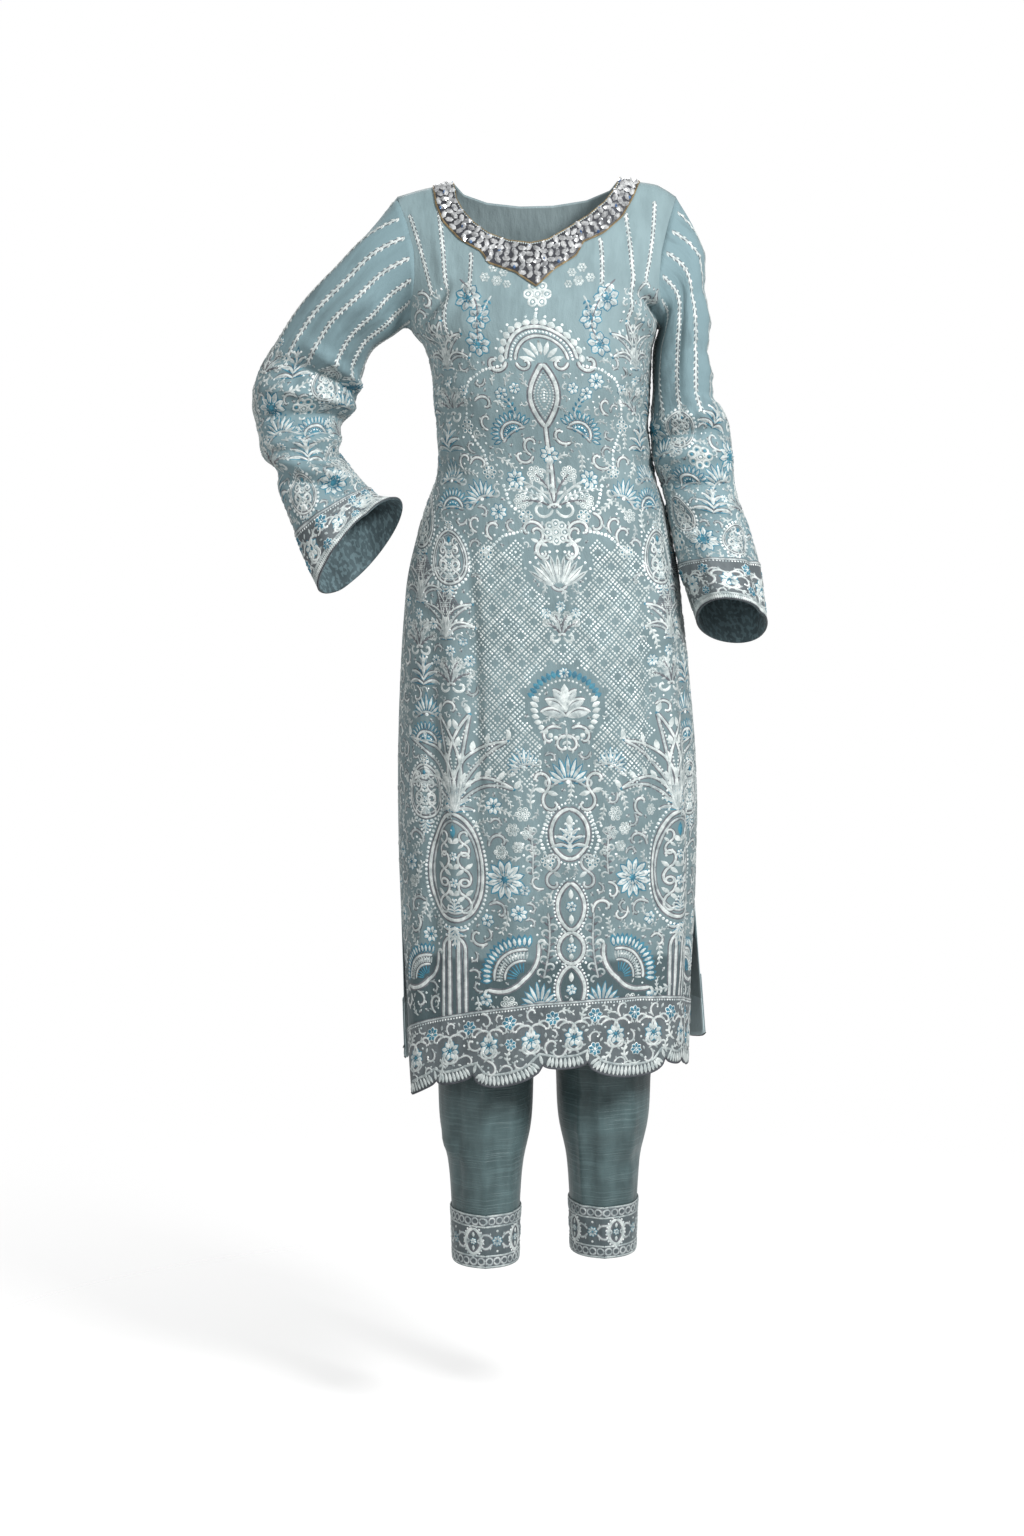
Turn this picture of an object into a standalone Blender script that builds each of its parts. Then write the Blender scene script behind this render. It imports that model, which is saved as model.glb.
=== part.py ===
"""Salwar kameez suit in its worn form: a long kameez over cropped straight trousers.

Every piece of cloth is a closed wall on a grid of rows and columns.  Pieces that meet at a seam
are parted by SEAM_GAP, and a band that lies on another piece is made from that piece's points,
moved out.  X runs to the wearer's left, Y to the back and Z up, in metres.  The origin lies
midway between the shoulder seams, level with their neck ends.  The tables are in millimetres.
"""
from typing import NamedTuple

import bpy
import numpy as np

MM = 0.001

CLOTH = 1.5             # thickness of the kameez panels and the sleeves
TROUSER_CLOTH = 1.6     # thickness of the trouser cloth
BAND = 1.2              # thickness of the bands, borders and cuffs
LINING = 1.0            # thickness of the lining
SEAM_GAP = 0.3          # between two pieces sewn together
ARMHOLE_GAP = 0.45      # between an armhole's edge and its sleeve

ARMHOLE_ROWS = 7        # quads up an armhole, front or back
BAND_ROWS = 2           # quads across the neck band
LEG_COLUMNS = 16        # quads round a trouser leg

SLIT_ROWS = 4           # rows of a panel below the slits' top
BORDER_ROWS = 3         # a panel's last rows, which carry the hem border
LINING_ROWS = 4         # the rows above those, which the lining lies under
CUFF_RINGS = 3          # the last rings of a sleeve carry its border
LEG_CUFF_ROWS = 2       # the last rows of a leg carry its cuff
TIP_ROW = BAND_ROWS + 1                 # the panel row that ends at the shoulder tips
UNDERARM_ROW = TIP_ROW + ARMHOLE_ROWS   # and the one that ends at the underarms

ROUNDNESS = 2.3         # exponent of the torso's oval sections
SLEEVE_ROUNDNESS = 2.1  # exponent of the sleeves' oval sections
LEG_ROUNDNESS = 2.1     # exponent of the legs' oval sections
UNDERARM = -178.0       # height of both armholes' lowest points
RIDGE_Y = 5.0           # the shoulder seams lie a little to the back
RISE_DEPTH = 150.0      # below the shoulder line, where the torso has its full depth
RISE_POWER = 0.5        # how roundly the torso closes over the shoulders


class TorsoRow(NamedTuple):
    """One level section of the kameez: its sides, its depth each way and its turn in degrees."""
    height: float
    right: float
    left: float
    front: float
    back: float
    turn: float


TORSO = (
    TorsoRow(20, -186, 186, 80, 80, 0.0),
    TorsoRow(-60, -186, 186, 88, 90, 0.0),
    TorsoRow(-100, -180, 180, 97, 98, 0.0),
    TorsoRow(-150, -160, 158, 106, 101, 0.0),
    TorsoRow(-178, -150, 143, 110, 99, 0.0),
    TorsoRow(-194, -137, 137, 112, 97, 0.2),
    TorsoRow(-226, -126.5, 133, 113, 92, 0.6),
    TorsoRow(-263, -123.5, 130.5, 107, 86, 1.0),
    TorsoRow(-300, -119.5, 129, 95, 81, 1.5),
    TorsoRow(-347, -119.5, 137, 86, 81, 2.4),
    TorsoRow(-394, -135.5, 151, 90, 89, 3.4),
    TorsoRow(-431, -146, 159, 96, 98, 4.2),
    TorsoRow(-468, -154.5, 167, 103, 107, 4.7),
    TorsoRow(-522, -160, 175, 111, 118, 5.0),
    TorsoRow(-600, -164.5, 183, 119, 127, 5.3),
    TorsoRow(-686, -167, 190, 126, 133, 5.5),
    TorsoRow(-748, -167, 192, 129, 136, 5.7),
    TorsoRow(-810, -166, 191, 131, 139, 6.0),
    TorsoRow(-864, -164, 189.5, 133, 142, 6.3),
    TorsoRow(-932, -162, 186, 134, 146, 6.6),
    TorsoRow(-1028, -161, 182, 136, 150, 7.0),
    TorsoRow(-1100, -160, 180, 137, 152, 7.2),
)


class Place(NamedTuple):
    """A point of a seam or an edge, as seen from the front."""
    x: float
    z: float


SHOULDER_LINE = (
    Place(-168, -17), Place(-138, -8), Place(-100, -1), Place(-50, 6),
    Place(50, 9), Place(99, 5), Place(122, 1), Place(145, -3), Place(167, -17),
)
ARMHOLE_RIGHT = (
    Place(-150, UNDERARM), Place(-149.5, -151), Place(-145, -116), Place(-146, -86),
    Place(-155, -50), Place(-168, -17),
)
ARMHOLE_LEFT = (
    Place(143, UNDERARM), Place(143.5, -151), Place(144, -116), Place(147, -86),
    Place(156, -50), Place(167, -17),
)
NECK_FRONT = (
    Place(-100, -1), Place(-96, -22), Place(-88, -37), Place(-75, -52), Place(-58, -65),
    Place(-34, -74), Place(-8, -77), Place(12, -73), Place(34, -60), Place(60, -43),
    Place(80, -26), Place(92, -10), Place(99, 5),
)
BAND_FRONT = (
    Place(-124, -4.5), Place(-120, -29), Place(-111, -50), Place(-92, -71), Place(-66, -87),
    Place(-57, -101), Place(-26, -112), Place(-2, -129), Place(20, -108), Place(45, -92),
    Place(54, -75), Place(78, -64), Place(100, -44), Place(114, -19), Place(122, 1),
)
NECK_BACK = (
    Place(-100, -1), Place(-88, -13), Place(-60, -22), Place(-20, -26), Place(20, -25),
    Place(60, -19), Place(88, -8), Place(99, 5),
)
BAND_BACK = (
    Place(-116, -3), Place(-98, -24), Place(-64, -36), Place(-20, -41), Place(20, -40),
    Place(64, -33), Place(98, -19), Place(115, 2),
)

SKIRT_ROWS = (UNDERARM, -202, -232, -270, -308, -347, -394, -440, -490, -550, -620, -700, -775)
SLIT_TOP = -848.0       # where the side seams end
LINING_HEM = -912.0     # where the lining ends


class SlitEdge(NamedTuple):
    """How far a panel's right and left edges swing in from the side seams at the hem, in degrees."""
    right: float
    left: float


FRONT_SLIT = SlitEdge(20.0, 8.0)
BACK_SLIT = SlitEdge(9.0, 2.0)
BACK_FLARE = 26.0       # the back panel's left edge swings out this far at the hem
SLIT_PARTING = 2.0      # how far each panel draws back from its side seam at the slit's top row


class HemPoint(NamedTuple):
    """The hem's height at one place across a panel, from -1 at the right to 1 at the left."""
    across: float
    height: float


FRONT_HEM = (
    HemPoint(-1.0, -1078), HemPoint(-0.65, -1058), HemPoint(-0.4, -1046), HemPoint(-0.05, -1031),
    HemPoint(0.5, -1032), HemPoint(1.0, -1053),
)
BACK_HEM = (
    HemPoint(-1.0, -1052), HemPoint(-0.5, -1044), HemPoint(0.0, -1040), HemPoint(0.6, -1036),
    HemPoint(1.0, -1028),
)
BORDER_DEPTH = 72.0     # from the top of the hem border to the scallops' notches


class Scallop(NamedTuple):
    """One scallop of the hem: its columns of the panel, its width across and its drop."""
    columns: int
    across: float
    drop: float


SCALLOPS = (
    Scallop(2, 0.353, 6), Scallop(2, 0.256, 7), Scallop(4, 0.302, 19), Scallop(2, 0.157, 6),
    Scallop(4, 0.420, 21), Scallop(2, 0.200, 7), Scallop(2, 0.312, 6),
)


class Flute(NamedTuple):
    """A long soft fold of the skirt: its place round the body in degrees, its width and depth."""
    angle: float
    spread: float
    depth: float


FLUTES = (
    Flute(-66, 9, 5.0), Flute(-38, 8, -3.0), Flute(-14, 9, 3.0), Flute(24, 8, -2.5),
    Flute(47, 9, 4.0), Flute(72, 8, -3.0), Flute(112, 9, 5.0), Flute(140, 9, -4.0),
    Flute(168, 9, 4.0), Flute(-160, 9, -3.5), Flute(-132, 9, 4.5), Flute(-104, 8, -3.0),
)
FLUTE_TOP = -420.0      # the flutes fade out above this height
FLUTE_FULL = -950.0     # and have their full depth below this one


class SleeveRing(NamedTuple):
    """A ring of a sleeve: its centre, then the half axes to its outer line and to its back."""
    x: float
    y: float
    z: float
    outer_x: float
    outer_z: float
    back_x: float
    back_y: float
    back_z: float


SLEEVE_RIGHT = (
    SleeveRing(-181, 5, -117, -22, 57, 0, 47, 0),
    SleeveRing(-206, 8, -142, -33, 41.5, 0, 52, 0),
    SleeveRing(-238, 14, -172, -40, 28, 0, 51, 0),
    SleeveRing(-260.5, 24, -207.5, -50.5, 19, 0, 50, 0),
    SleeveRing(-276, 32, -238, -61, 9.5, 0, 50, 0),
    SleeveRing(-283, 36, -268, -61, 1, 0, 51, 0),
    SleeveRing(-288, 36, -303, -48, 0, 1, 50, -2),
    SleeveRing(-278, 32, -331, -42.5, -4, 2, 48, -4),
    SleeveRing(-264, 24, -362, -45.5, -12.5, 4, 46, -4),
    SleeveRing(-248, 16, -391, -43, -26.5, 9, 44, -2),
    SleeveRing(-231.5, 8, -419, -38.5, -42.5, 17, 41, 0),
    SleeveRing(-211, 2, -436, -39.5, -57, 28, 37, 0),
)
SLEEVE_LEFT = (
    SleeveRing(169, 4, -118, 22.5, 56.5, 0, 50, 0),
    SleeveRing(175.5, 4, -153, 27, 31, 0, 56, 0),
    SleeveRing(176, 5, -191, 29.5, 9, 0, 58, 0),
    SleeveRing(177, 6, -250, 34.5, 0, 0, 56, 0),
    SleeveRing(184.5, 8, -287, 44.5, 2, 0, 54, 0),
    SleeveRing(188, 4, -322, 46, 0, 0, 52, 0),
    SleeveRing(198, -6, -370, 40, 0, 0, 48, 0),
    SleeveRing(209.5, -17, -419, 45, 0, 0, 50, -3),
    SleeveRing(217, -27, -455, 46.5, 0, 0, 52, -9),
    SleeveRing(224, -36, -492, 44, -4, 0, 54, -19),
    SleeveRing(231, -43, -524, 40, -6, 0, 55, -29),
)

TROUSER_X = 9.5         # the trousers' middle
WAISTBAND_TOP = -345.0
WAISTBAND_SEAM = -385.0
CROTCH_Y = 4.0


class HipRow(NamedTuple):
    """A level section of the trousers above the crotch."""
    height: float
    half_width: float
    front: float
    back: float


HIPS = (
    HipRow(-385, 113, 74, 72), HipRow(-440, 136, 84, 88), HipRow(-500, 148, 93, 101),
    HipRow(-560, 152, 97, 105), HipRow(-602, 153, 97, 104), HipRow(-640, 153, 96, 102),
)
CLOSING_TOP = -545.0    # below this height the centre seams curve in to the crotch
CROTCH = -640.0
LEG_HEIGHTS = (
    WAISTBAND_SEAM, -430, -480, -530, -580, -615, CROTCH, -710, -800, -890, -980, -1070, -1130,
    -1175, -1224, -1288,
)


class LegRow(NamedTuple):
    """A level section of one leg, from the crotch down: its middle, half axes and stance."""
    height: float
    offset: float
    half_width: float
    half_depth: float


LEGS = (
    LegRow(-640, 77, 76.5, 96), LegRow(-715, 77, 74, 88), LegRow(-800, 75.5, 70, 80),
    LegRow(-890, 74, 66, 74), LegRow(-980, 72.5, 61.5, 70), LegRow(-1070, 71, 57.5, 66),
    LegRow(-1130, 71, 54, 63), LegRow(-1170, 71, 45.5, 58), LegRow(-1224, 71, 41, 53),
    LegRow(-1288, 71, 38.5, 50),
)
CREASE = 2.5            # how far the pressed creases stand out from the legs' ovals
STANCE_RIGHT = -24.0    # the right leg stands forward at its hem
STANCE_LEFT = 20.0      # and the left leg back


class Finish(NamedTuple):
    """A material's look: its colour in linear values, roughness and metallic value."""
    red: float
    green: float
    blue: float
    roughness: float
    metallic: float


KAMEEZ_CLOTH = Finish(0.205, 0.305, 0.335, 0.75, 0.0)
SLEEVE_CLOTH = Finish(0.225, 0.330, 0.360, 0.75, 0.0)
STONED_BAND = Finish(0.110, 0.150, 0.190, 0.45, 0.3)
PLAIN_BAND = Finish(0.180, 0.260, 0.290, 0.65, 0.0)
BORDER_NET = Finish(0.300, 0.340, 0.350, 0.70, 0.0)
LINING_CLOTH = Finish(0.150, 0.220, 0.240, 0.60, 0.0)
TROUSER_SILK = Finish(0.165, 0.235, 0.245, 0.50, 0.0)
TROUSER_BAND = Finish(0.110, 0.130, 0.150, 0.55, 0.2)


def column(table, name):
    """One named column of a table, as an array."""
    return np.array([getattr(row, name) for row in table], float)


def follow(xs, ys, at):
    """Values of a smooth curve through the points (xs, ys), with xs rising."""
    slopes = np.gradient(ys, xs)
    at = np.clip(at, xs[0], xs[-1])
    cell = np.clip(np.searchsorted(xs, at, side="right") - 1, 0, len(xs) - 2)
    step = xs[cell + 1] - xs[cell]
    t = (at - xs[cell]) / step
    rest = 1 - t
    return (
        ys[cell] * (1 + 2 * t) * rest ** 2 + slopes[cell] * step * t * rest ** 2
        + ys[cell + 1] * (3 - 2 * t) * t ** 2 - slopes[cell + 1] * step * rest * t ** 2
    )


def torso(name, height):
    """A column of the torso table at any height."""
    return follow(column(TORSO, "height")[::-1], column(TORSO, name)[::-1], height)


def along(places, count):
    """Evenly spaced points on the line through a list of places, as (x, z) rows."""
    points = np.array(places, float)
    run = np.append(0, np.cumsum(np.hypot(*np.diff(points, axis=0).T)))
    at = np.linspace(0, run[-1], count)
    return np.column_stack([np.interp(at, run, points[:, axis]) for axis in (0, 1)])


def fold_swell(angle, height):
    """How far the skirt's flutes push the cloth out at an angle and a height."""
    growth = np.clip((FLUTE_TOP - height) / (FLUTE_TOP - FLUTE_FULL), 0, 1) ** 1.5
    swell = np.zeros(np.broadcast(angle, height).shape)
    for flute in FLUTES:
        away = (angle - flute.angle + 180) % 360 - 180
        swell += flute.depth * np.exp(-(away / flute.spread) ** 2)
    return swell * growth


def torso_points(angle, height):
    """Points of the kameez below the underarms; the angle is 0 at the front, + to the left."""
    turned = np.radians(angle + torso("turn", height))
    sine, cosine = np.sin(turned), np.cos(turned)
    right, left = torso("right", height), torso("left", height)
    depth = np.where(cosine > 0, torso("front", height), torso("back", height))
    power = 2 / ROUNDNESS
    swell = fold_swell(angle, height)
    x = (right + left) / 2 + (left - right) / 2 * np.sign(sine) * np.abs(sine) ** power
    y = -depth * np.sign(cosine) * np.abs(cosine) ** power
    return np.stack([x + swell * sine, y - swell * cosine, height + 0 * x], axis=-1)


def shoulder_depth(x, height, name):
    """How far the torso stands out to one side of the shoulder seams' plane."""
    right, left = torso("right", height), torso("left", height)
    reach = np.clip(np.abs(x - (right + left) / 2) / ((left - right) / 2), 0, 1)
    line = np.array(SHOULDER_LINE, float)
    below = follow(line[:, 0], line[:, 1], x) - height
    rise = np.clip(below / RISE_DEPTH, 0, 1) ** RISE_POWER
    return torso(name, height) * (1 - reach ** ROUNDNESS) ** (1 / ROUNDNESS) * rise


def patch(bottom, top, start, end):
    """A grid of (x, z) points that fills the space between four edges."""
    s = np.linspace(0, 1, len(bottom))[None, :, None]
    v = np.linspace(0, 1, len(start))[:, None, None]
    level = (1 - v) * bottom + v * top
    upright = (1 - s) * start[:, None] + s * end[:, None]
    corners = (1 - v) * ((1 - s) * bottom[0] + s * bottom[-1]) + v * ((1 - s) * top[0] + s * top[-1])
    return level + upright - corners


def shoulder_grid(underarm_row, band, neck, side):
    """A panel's points from the underarms up to its neckline; side is -1 in front, 1 behind."""
    name = "front" if side < 0 else "back"
    count = len(underarm_row)
    outer_edge = along(band, count)
    neck_edge = along(neck, count)
    start = np.vstack([along(ARMHOLE_RIGHT, ARMHOLE_ROWS + 1), outer_edge[:1]])
    end = np.vstack([along(ARMHOLE_LEFT, ARMHOLE_ROWS + 1), outer_edge[-1:]])
    yoke = patch(underarm_row[:, [0, 2]], outer_edge, start, end)
    steps = np.linspace(0, 1, BAND_ROWS + 1)[1:, None, None]
    collar = outer_edge + steps * (neck_edge - outer_edge)
    plan = np.concatenate([yoke, collar])
    x, z = plan[..., 0], plan[..., 1]
    depth = shoulder_depth(x, z, name)
    depth[ARMHOLE_ROWS:, [0, -1]] = 0
    lean = RIDGE_Y * np.clip((z - UNDERARM) / -UNDERARM, 0, 1)
    return np.stack([x, side * depth + lean, z], axis=-1)


def scallop_columns():
    """A panel's columns: their places across it, and the hem's drop below its notches there."""
    across, drops = [-1.0], [0.0]
    for scallop in SCALLOPS:
        start = across[-1]
        for step in range(1, scallop.columns + 1):
            share = step / scallop.columns
            across.append(start + share * scallop.across)
            drops.append(scallop.drop * np.sqrt(1 - (2 * share - 1) ** 2))
    return np.array(across), np.array(drops)


def skirt_grid(hem, slit, side):
    """A panel's points from the underarms down to its scalloped hem, top row first."""
    across, drops = scallop_columns()
    notches = follow(column(hem, "across"), column(hem, "height"), across)
    level = [np.full_like(across, height) for height in SKIRT_ROWS + (SLIT_TOP, LINING_HEM)]
    border_top = notches + BORDER_DEPTH
    edge = notches - drops
    height = np.array(level + [border_top, (border_top + edge) / 2, edge])
    opened = np.clip((SLIT_TOP - height) / (SLIT_TOP - notches), 0, 1)
    swing = np.where(across < 0, slit.right, slit.left) * np.abs(across) ** 3 * opened
    angle = across * 90 - np.sign(across) * swing
    if side < 0:
        return torso_points(angle, height)
    points = torso_points(180 - angle, height)
    points[..., 0] += BACK_FLARE * opened * np.clip(across, 0, 1) ** 4
    return points


class Sheet(NamedTuple):
    """A grid of points on a cloth's outer face with its normals, rows by columns."""
    points: np.ndarray
    normals: np.ndarray

    def cut(self, rows):
        """The stretch of the sheet that a slice of its rows gives."""
        return Sheet(self.points[rows], self.normals[rows])


def unit(vectors):
    """The vectors at length one."""
    return vectors / np.linalg.norm(vectors, axis=-1, keepdims=True)


def grid_normals(points, facing):
    """Outward normals of a grid; facing is 1 where row x column points outward, else -1."""
    across = points[1:, 1:] - points[:-1, :-1]
    other = points[:-1, 1:] - points[1:, :-1]
    faces = np.cross(across, other) * facing
    total = np.zeros_like(points)
    for row, col in ((0, 0), (0, 1), (1, 0), (1, 1)):
        rows = slice(row, row + faces.shape[0])
        cols = slice(col, col + faces.shape[1])
        total[rows, cols] += faces
    return unit(total)


def panel(underarm_to_hem, shoulders, side):
    """A kameez panel as one sheet from its neckline down to its hem, parted at its seams."""
    points = np.concatenate([shoulders[::-1], underarm_to_hem[1:]])
    slit = len(points) - SLIT_ROWS
    points[:TIP_ROW + 1, [0, -1], 1] += side * SEAM_GAP / 2
    points[UNDERARM_ROW:slit, [0, -1], 1] += side * SEAM_GAP / 2
    points[slit:, [0, -1], 1] += side * SLIT_PARTING
    normals = grid_normals(points, -side)
    normals[:TIP_ROW + 1, [0, -1], 1] = 0
    normals[UNDERARM_ROW:slit, [0, -1], 1] = 0
    return Sheet(points, unit(normals))


def kameez_panels():
    """The front and the back panel."""
    panels = []
    shapes = (
        (FRONT_HEM, FRONT_SLIT, BAND_FRONT, NECK_FRONT, -1),
        (BACK_HEM, BACK_SLIT, BAND_BACK, NECK_BACK, 1),
    )
    for hem, slit, band, neck, side in shapes:
        skirt = skirt_grid(hem, slit, side)
        shoulders = shoulder_grid(skirt[0], band, neck, side)
        panels.append(panel(skirt, shoulders, side))
    return panels


def armhole_ring(front, back, edge, facing):
    """A sleeve's first ring, from the underarm up the back and down the front of an armhole."""
    rows = slice(TIP_ROW, UNDERARM_ROW + 1)
    behind = Sheet(back.points[rows, edge][::-1], back.normals[rows, edge][::-1])
    before = Sheet(front.points[rows, edge], front.normals[rows, edge])
    points = np.concatenate([behind.points, before.points[1:]])
    normals = np.concatenate([behind.normals, before.normals[1:]])
    points[ARMHOLE_ROWS] = (behind.points[-1] + before.points[0]) / 2
    ahead = np.concatenate([points[1:], points[1:2]])
    past = np.concatenate([points[-2:-1], points[:-1]])
    away = unit(np.cross(ahead - past, normals)) * facing
    return points + ARMHOLE_GAP * away, normals


def sleeve(rings, front, back, edge, facing):
    """A sleeve as one sheet: the armhole's ring, then the rings of its table."""
    turn = np.linspace(0, 2 * np.pi, 2 * ARMHOLE_ROWS + 1)
    power = 2 / SLEEVE_ROUNDNESS
    outer_share = -np.sign(np.cos(turn)) * np.abs(np.cos(turn)) ** power
    back_share = np.sign(np.sin(turn)) * np.abs(np.sin(turn)) ** power
    table = np.array(rings, float)
    centre = table[:, :3]
    outer = table[:, [3, 4]] @ np.array([[1, 0, 0], [0, 0, 1]])
    behind = table[:, 5:8]
    ovals = centre[:, None] + outer[:, None] * outer_share[:, None] + behind[:, None] * back_share[:, None]
    parting = unit(behind) * SEAM_GAP / 2
    ovals[:, 0] += parting
    ovals[:, -1] -= parting
    first, first_normals = armhole_ring(front, back, edge, facing)
    points = np.concatenate([first[None], ovals])
    normals = grid_normals(points, facing)
    normals[0] = first_normals
    normals[1:, 0] = -unit(outer)
    normals[1:, -1] = -unit(outer)
    return Sheet(points, normals)


def leg_columns(name, height):
    """A column of the leg table at any height."""
    return follow(column(LEGS, "height")[::-1], column(LEGS, name)[::-1], height)


def hip_columns(name, height):
    """A column of the hip table at any height."""
    return follow(column(HIPS, "height")[::-1], column(HIPS, name)[::-1], height)


def trouser_leg(side, stance):
    """One leg from waist to hem; side is -1 for the right leg, and stance moves its hem in Y."""
    height = np.array(LEG_HEIGHTS, float)[:, None]
    share = np.linspace(0, 1, LEG_COLUMNS + 1)[None]
    hip_turn, leg_turn = share * np.pi, share * 2 * np.pi
    hip_x = hip_columns("half_width", height) * np.sin(hip_turn)
    hip_depth = np.where(share < 0.5, hip_columns("front", height), hip_columns("back", height))
    hip_y = -hip_depth * np.cos(hip_turn)
    power = 2 / LEG_ROUNDNESS
    cosine = np.sign(np.cos(leg_turn)) * np.abs(np.cos(leg_turn)) ** power
    sine = np.sign(np.sin(leg_turn)) * np.abs(np.sin(leg_turn)) ** power
    leg_x = leg_columns("offset", height) - leg_columns("half_width", height) * cosine
    crease = CREASE * np.isin(share, (0.25, 0.75))
    leg_y = CROTCH_Y - (leg_columns("half_depth", height) + crease) * sine
    closing = np.clip((CLOSING_TOP - height) / (CLOSING_TOP - CROTCH), 0, 1)
    closing = closing ** 2 * (3 - 2 * closing)
    descent = np.clip((CROTCH - height) / (CROTCH - LEG_HEIGHTS[-1]), 0, 1)
    x = hip_x + closing * (leg_x - hip_x)
    y = hip_y + closing * (leg_y - hip_y) + stance * descent
    x[:, [0, -1]] += SEAM_GAP / 2
    y[:, 0] -= SEAM_GAP / 2
    y[:, -1] += SEAM_GAP / 2
    points = np.stack([TROUSER_X + side * x, y, height + 0 * x], axis=-1)
    normals = grid_normals(points, side)
    above = np.array(LEG_HEIGHTS) >= CROTCH
    below = np.array(LEG_HEIGHTS) <= CROTCH
    ends = np.array([0, -1])
    normals[np.ix_(above, ends, [0])] = 0
    normals[np.ix_(below, ends, [1])] = 0
    crotch_row = above & below
    normals[np.ix_(crotch_row, ends, [2])] = -1
    return Sheet(points, unit(normals))


def waistband(right_leg, left_leg):
    """The waistband on the legs' top edges, split at the centre back."""
    right, left = right_leg.points[0][::-1], left_leg.points[0]
    middle = (right[-1:] + left[:1]) / 2
    ring = np.concatenate([right[:-1], middle, left[1:]])
    ring[[0, -1], 1] = ring[[0, -1], 1].mean()
    top, bottom = ring.copy(), ring.copy()
    top[:, 2] = WAISTBAND_TOP
    bottom[:, 2] = WAISTBAND_SEAM + SEAM_GAP
    points = np.stack([top, bottom])
    normals = grid_normals(points, 1)
    normals[:, [0, -1], 0] = 0
    return Sheet(points, unit(normals))


def material(name, finish):
    """A Principled material in a finish."""
    made = bpy.data.materials.new(name)
    made.use_nodes = True
    shader = made.node_tree.nodes["Principled BSDF"]
    shader.inputs["Base Color"].default_value = (finish.red, finish.green, finish.blue, 1.0)
    shader.inputs["Roughness"].default_value = finish.roughness
    shader.inputs["Metallic"].default_value = finish.metallic
    return made


def wall(name, sheet, facing, start, thickness, finish, worn):
    """A closed wall of cloth that begins `start` outside its sheet and is `thickness` thick."""
    rows, columns = sheet.points.shape[:2]
    inner = sheet.points + sheet.normals * start
    outer = inner + sheet.normals * thickness
    index = np.arange(rows * columns).reshape(rows, columns)
    low = rows * columns
    faces = []
    for a, b, c, d in zip(
        index[:-1, :-1].flat, index[1:, :-1].flat, index[1:, 1:].flat, index[:-1, 1:].flat
    ):
        faces += [(a, b, c), (a, c, d), (low + c, low + b, low + a), (low + d, low + c, low + a)]
    rim = [*index[:-1, 0], *index[-1, :-1], *index[:0:-1, -1], *index[0, :0:-1]]
    for a, b in zip(rim, rim[1:] + rim[:1]):
        faces += [(b, a, low + a), (b, low + a, low + b)]
    if facing < 0:
        faces = [face[::-1] for face in faces]
    mesh = bpy.data.meshes.new(name)
    vertices = np.concatenate([outer.reshape(-1, 3), inner.reshape(-1, 3)]) * MM
    mesh.from_pydata(vertices.tolist(), [], [tuple(int(i) for i in face) for face in faces])
    mesh.validate()
    mesh.shade_smooth()
    mesh.set_sharp_from_angle(angle=np.radians(50))
    mesh.materials.append(material(name, finish))
    piece = bpy.data.objects.new(name, mesh)
    bpy.context.collection.objects.link(piece)
    piece.parent = worn
    return piece


def build_kameez(worn):
    """The two panels, what lies on and under them, and the sleeves with their borders."""
    front, back = kameez_panels()
    band_rows = slice(0, BAND_ROWS + 1)
    border_rows = slice(-BORDER_ROWS, None)
    lining_rows = slice(-BORDER_ROWS - LINING_ROWS, -BORDER_ROWS)
    under = -(CLOTH + SEAM_GAP + LINING)
    for word, sheet, facing in (("front", front, 1), ("back", back, -1)):
        neck = STONED_BAND if word == "front" else PLAIN_BAND
        wall(f"kameez_{word}", sheet, facing, -CLOTH, CLOTH, KAMEEZ_CLOTH, worn)
        wall(f"neck_band_{word}", sheet.cut(band_rows), facing, SEAM_GAP, BAND, neck, worn)
        wall(f"hem_border_{word}", sheet.cut(border_rows), facing, SEAM_GAP, BAND, BORDER_NET, worn)
        wall(f"lining_{word}", sheet.cut(lining_rows), facing, under, LINING, LINING_CLOTH, worn)
    for word, rings, edge, facing in (("right", SLEEVE_RIGHT, 0, 1), ("left", SLEEVE_LEFT, -1, -1)):
        sheet = sleeve(rings, front, back, edge, facing)
        wall(f"sleeve_{word}", sheet, facing, -CLOTH, CLOTH, SLEEVE_CLOTH, worn)
        cuff = sheet.cut(slice(-CUFF_RINGS, None))
        wall(f"cuff_border_{word}", cuff, facing, SEAM_GAP, BAND, BORDER_NET, worn)


def build_trousers(worn):
    """The legs, their cuffs and the waistband."""
    legs = []
    for word, side, stance in (("right", -1, STANCE_RIGHT), ("left", 1, STANCE_LEFT)):
        leg = trouser_leg(side, stance)
        legs.append(leg)
        wall(f"trouser_leg_{word}", leg, side, -TROUSER_CLOTH, TROUSER_CLOTH, TROUSER_SILK, worn)
        cuff = leg.cut(slice(-LEG_CUFF_ROWS, None))
        wall(f"trouser_cuff_{word}", cuff, side, SEAM_GAP, BAND, TROUSER_BAND, worn)
    band = waistband(*legs)
    wall("trouser_waistband", band, 1, -TROUSER_CLOTH, TROUSER_CLOTH, TROUSER_SILK, worn)


def main():
    """Clear the file and build the suit round one empty at the shoulders."""
    for old in list(bpy.data.objects):
        bpy.data.objects.remove(old)
    worn = bpy.data.objects.new("worn_at_shoulders", None)
    bpy.context.collection.objects.link(worn)
    build_kameez(worn)
    build_trousers(worn)


main()
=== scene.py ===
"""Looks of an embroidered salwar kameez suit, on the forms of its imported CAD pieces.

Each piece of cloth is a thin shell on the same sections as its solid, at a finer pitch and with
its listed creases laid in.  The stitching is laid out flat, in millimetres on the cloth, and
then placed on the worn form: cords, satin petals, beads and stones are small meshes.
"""
import logging
import math
from dataclasses import dataclass, field
from enum import Enum
from typing import Callable, Iterable, NamedTuple, Sequence

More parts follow.
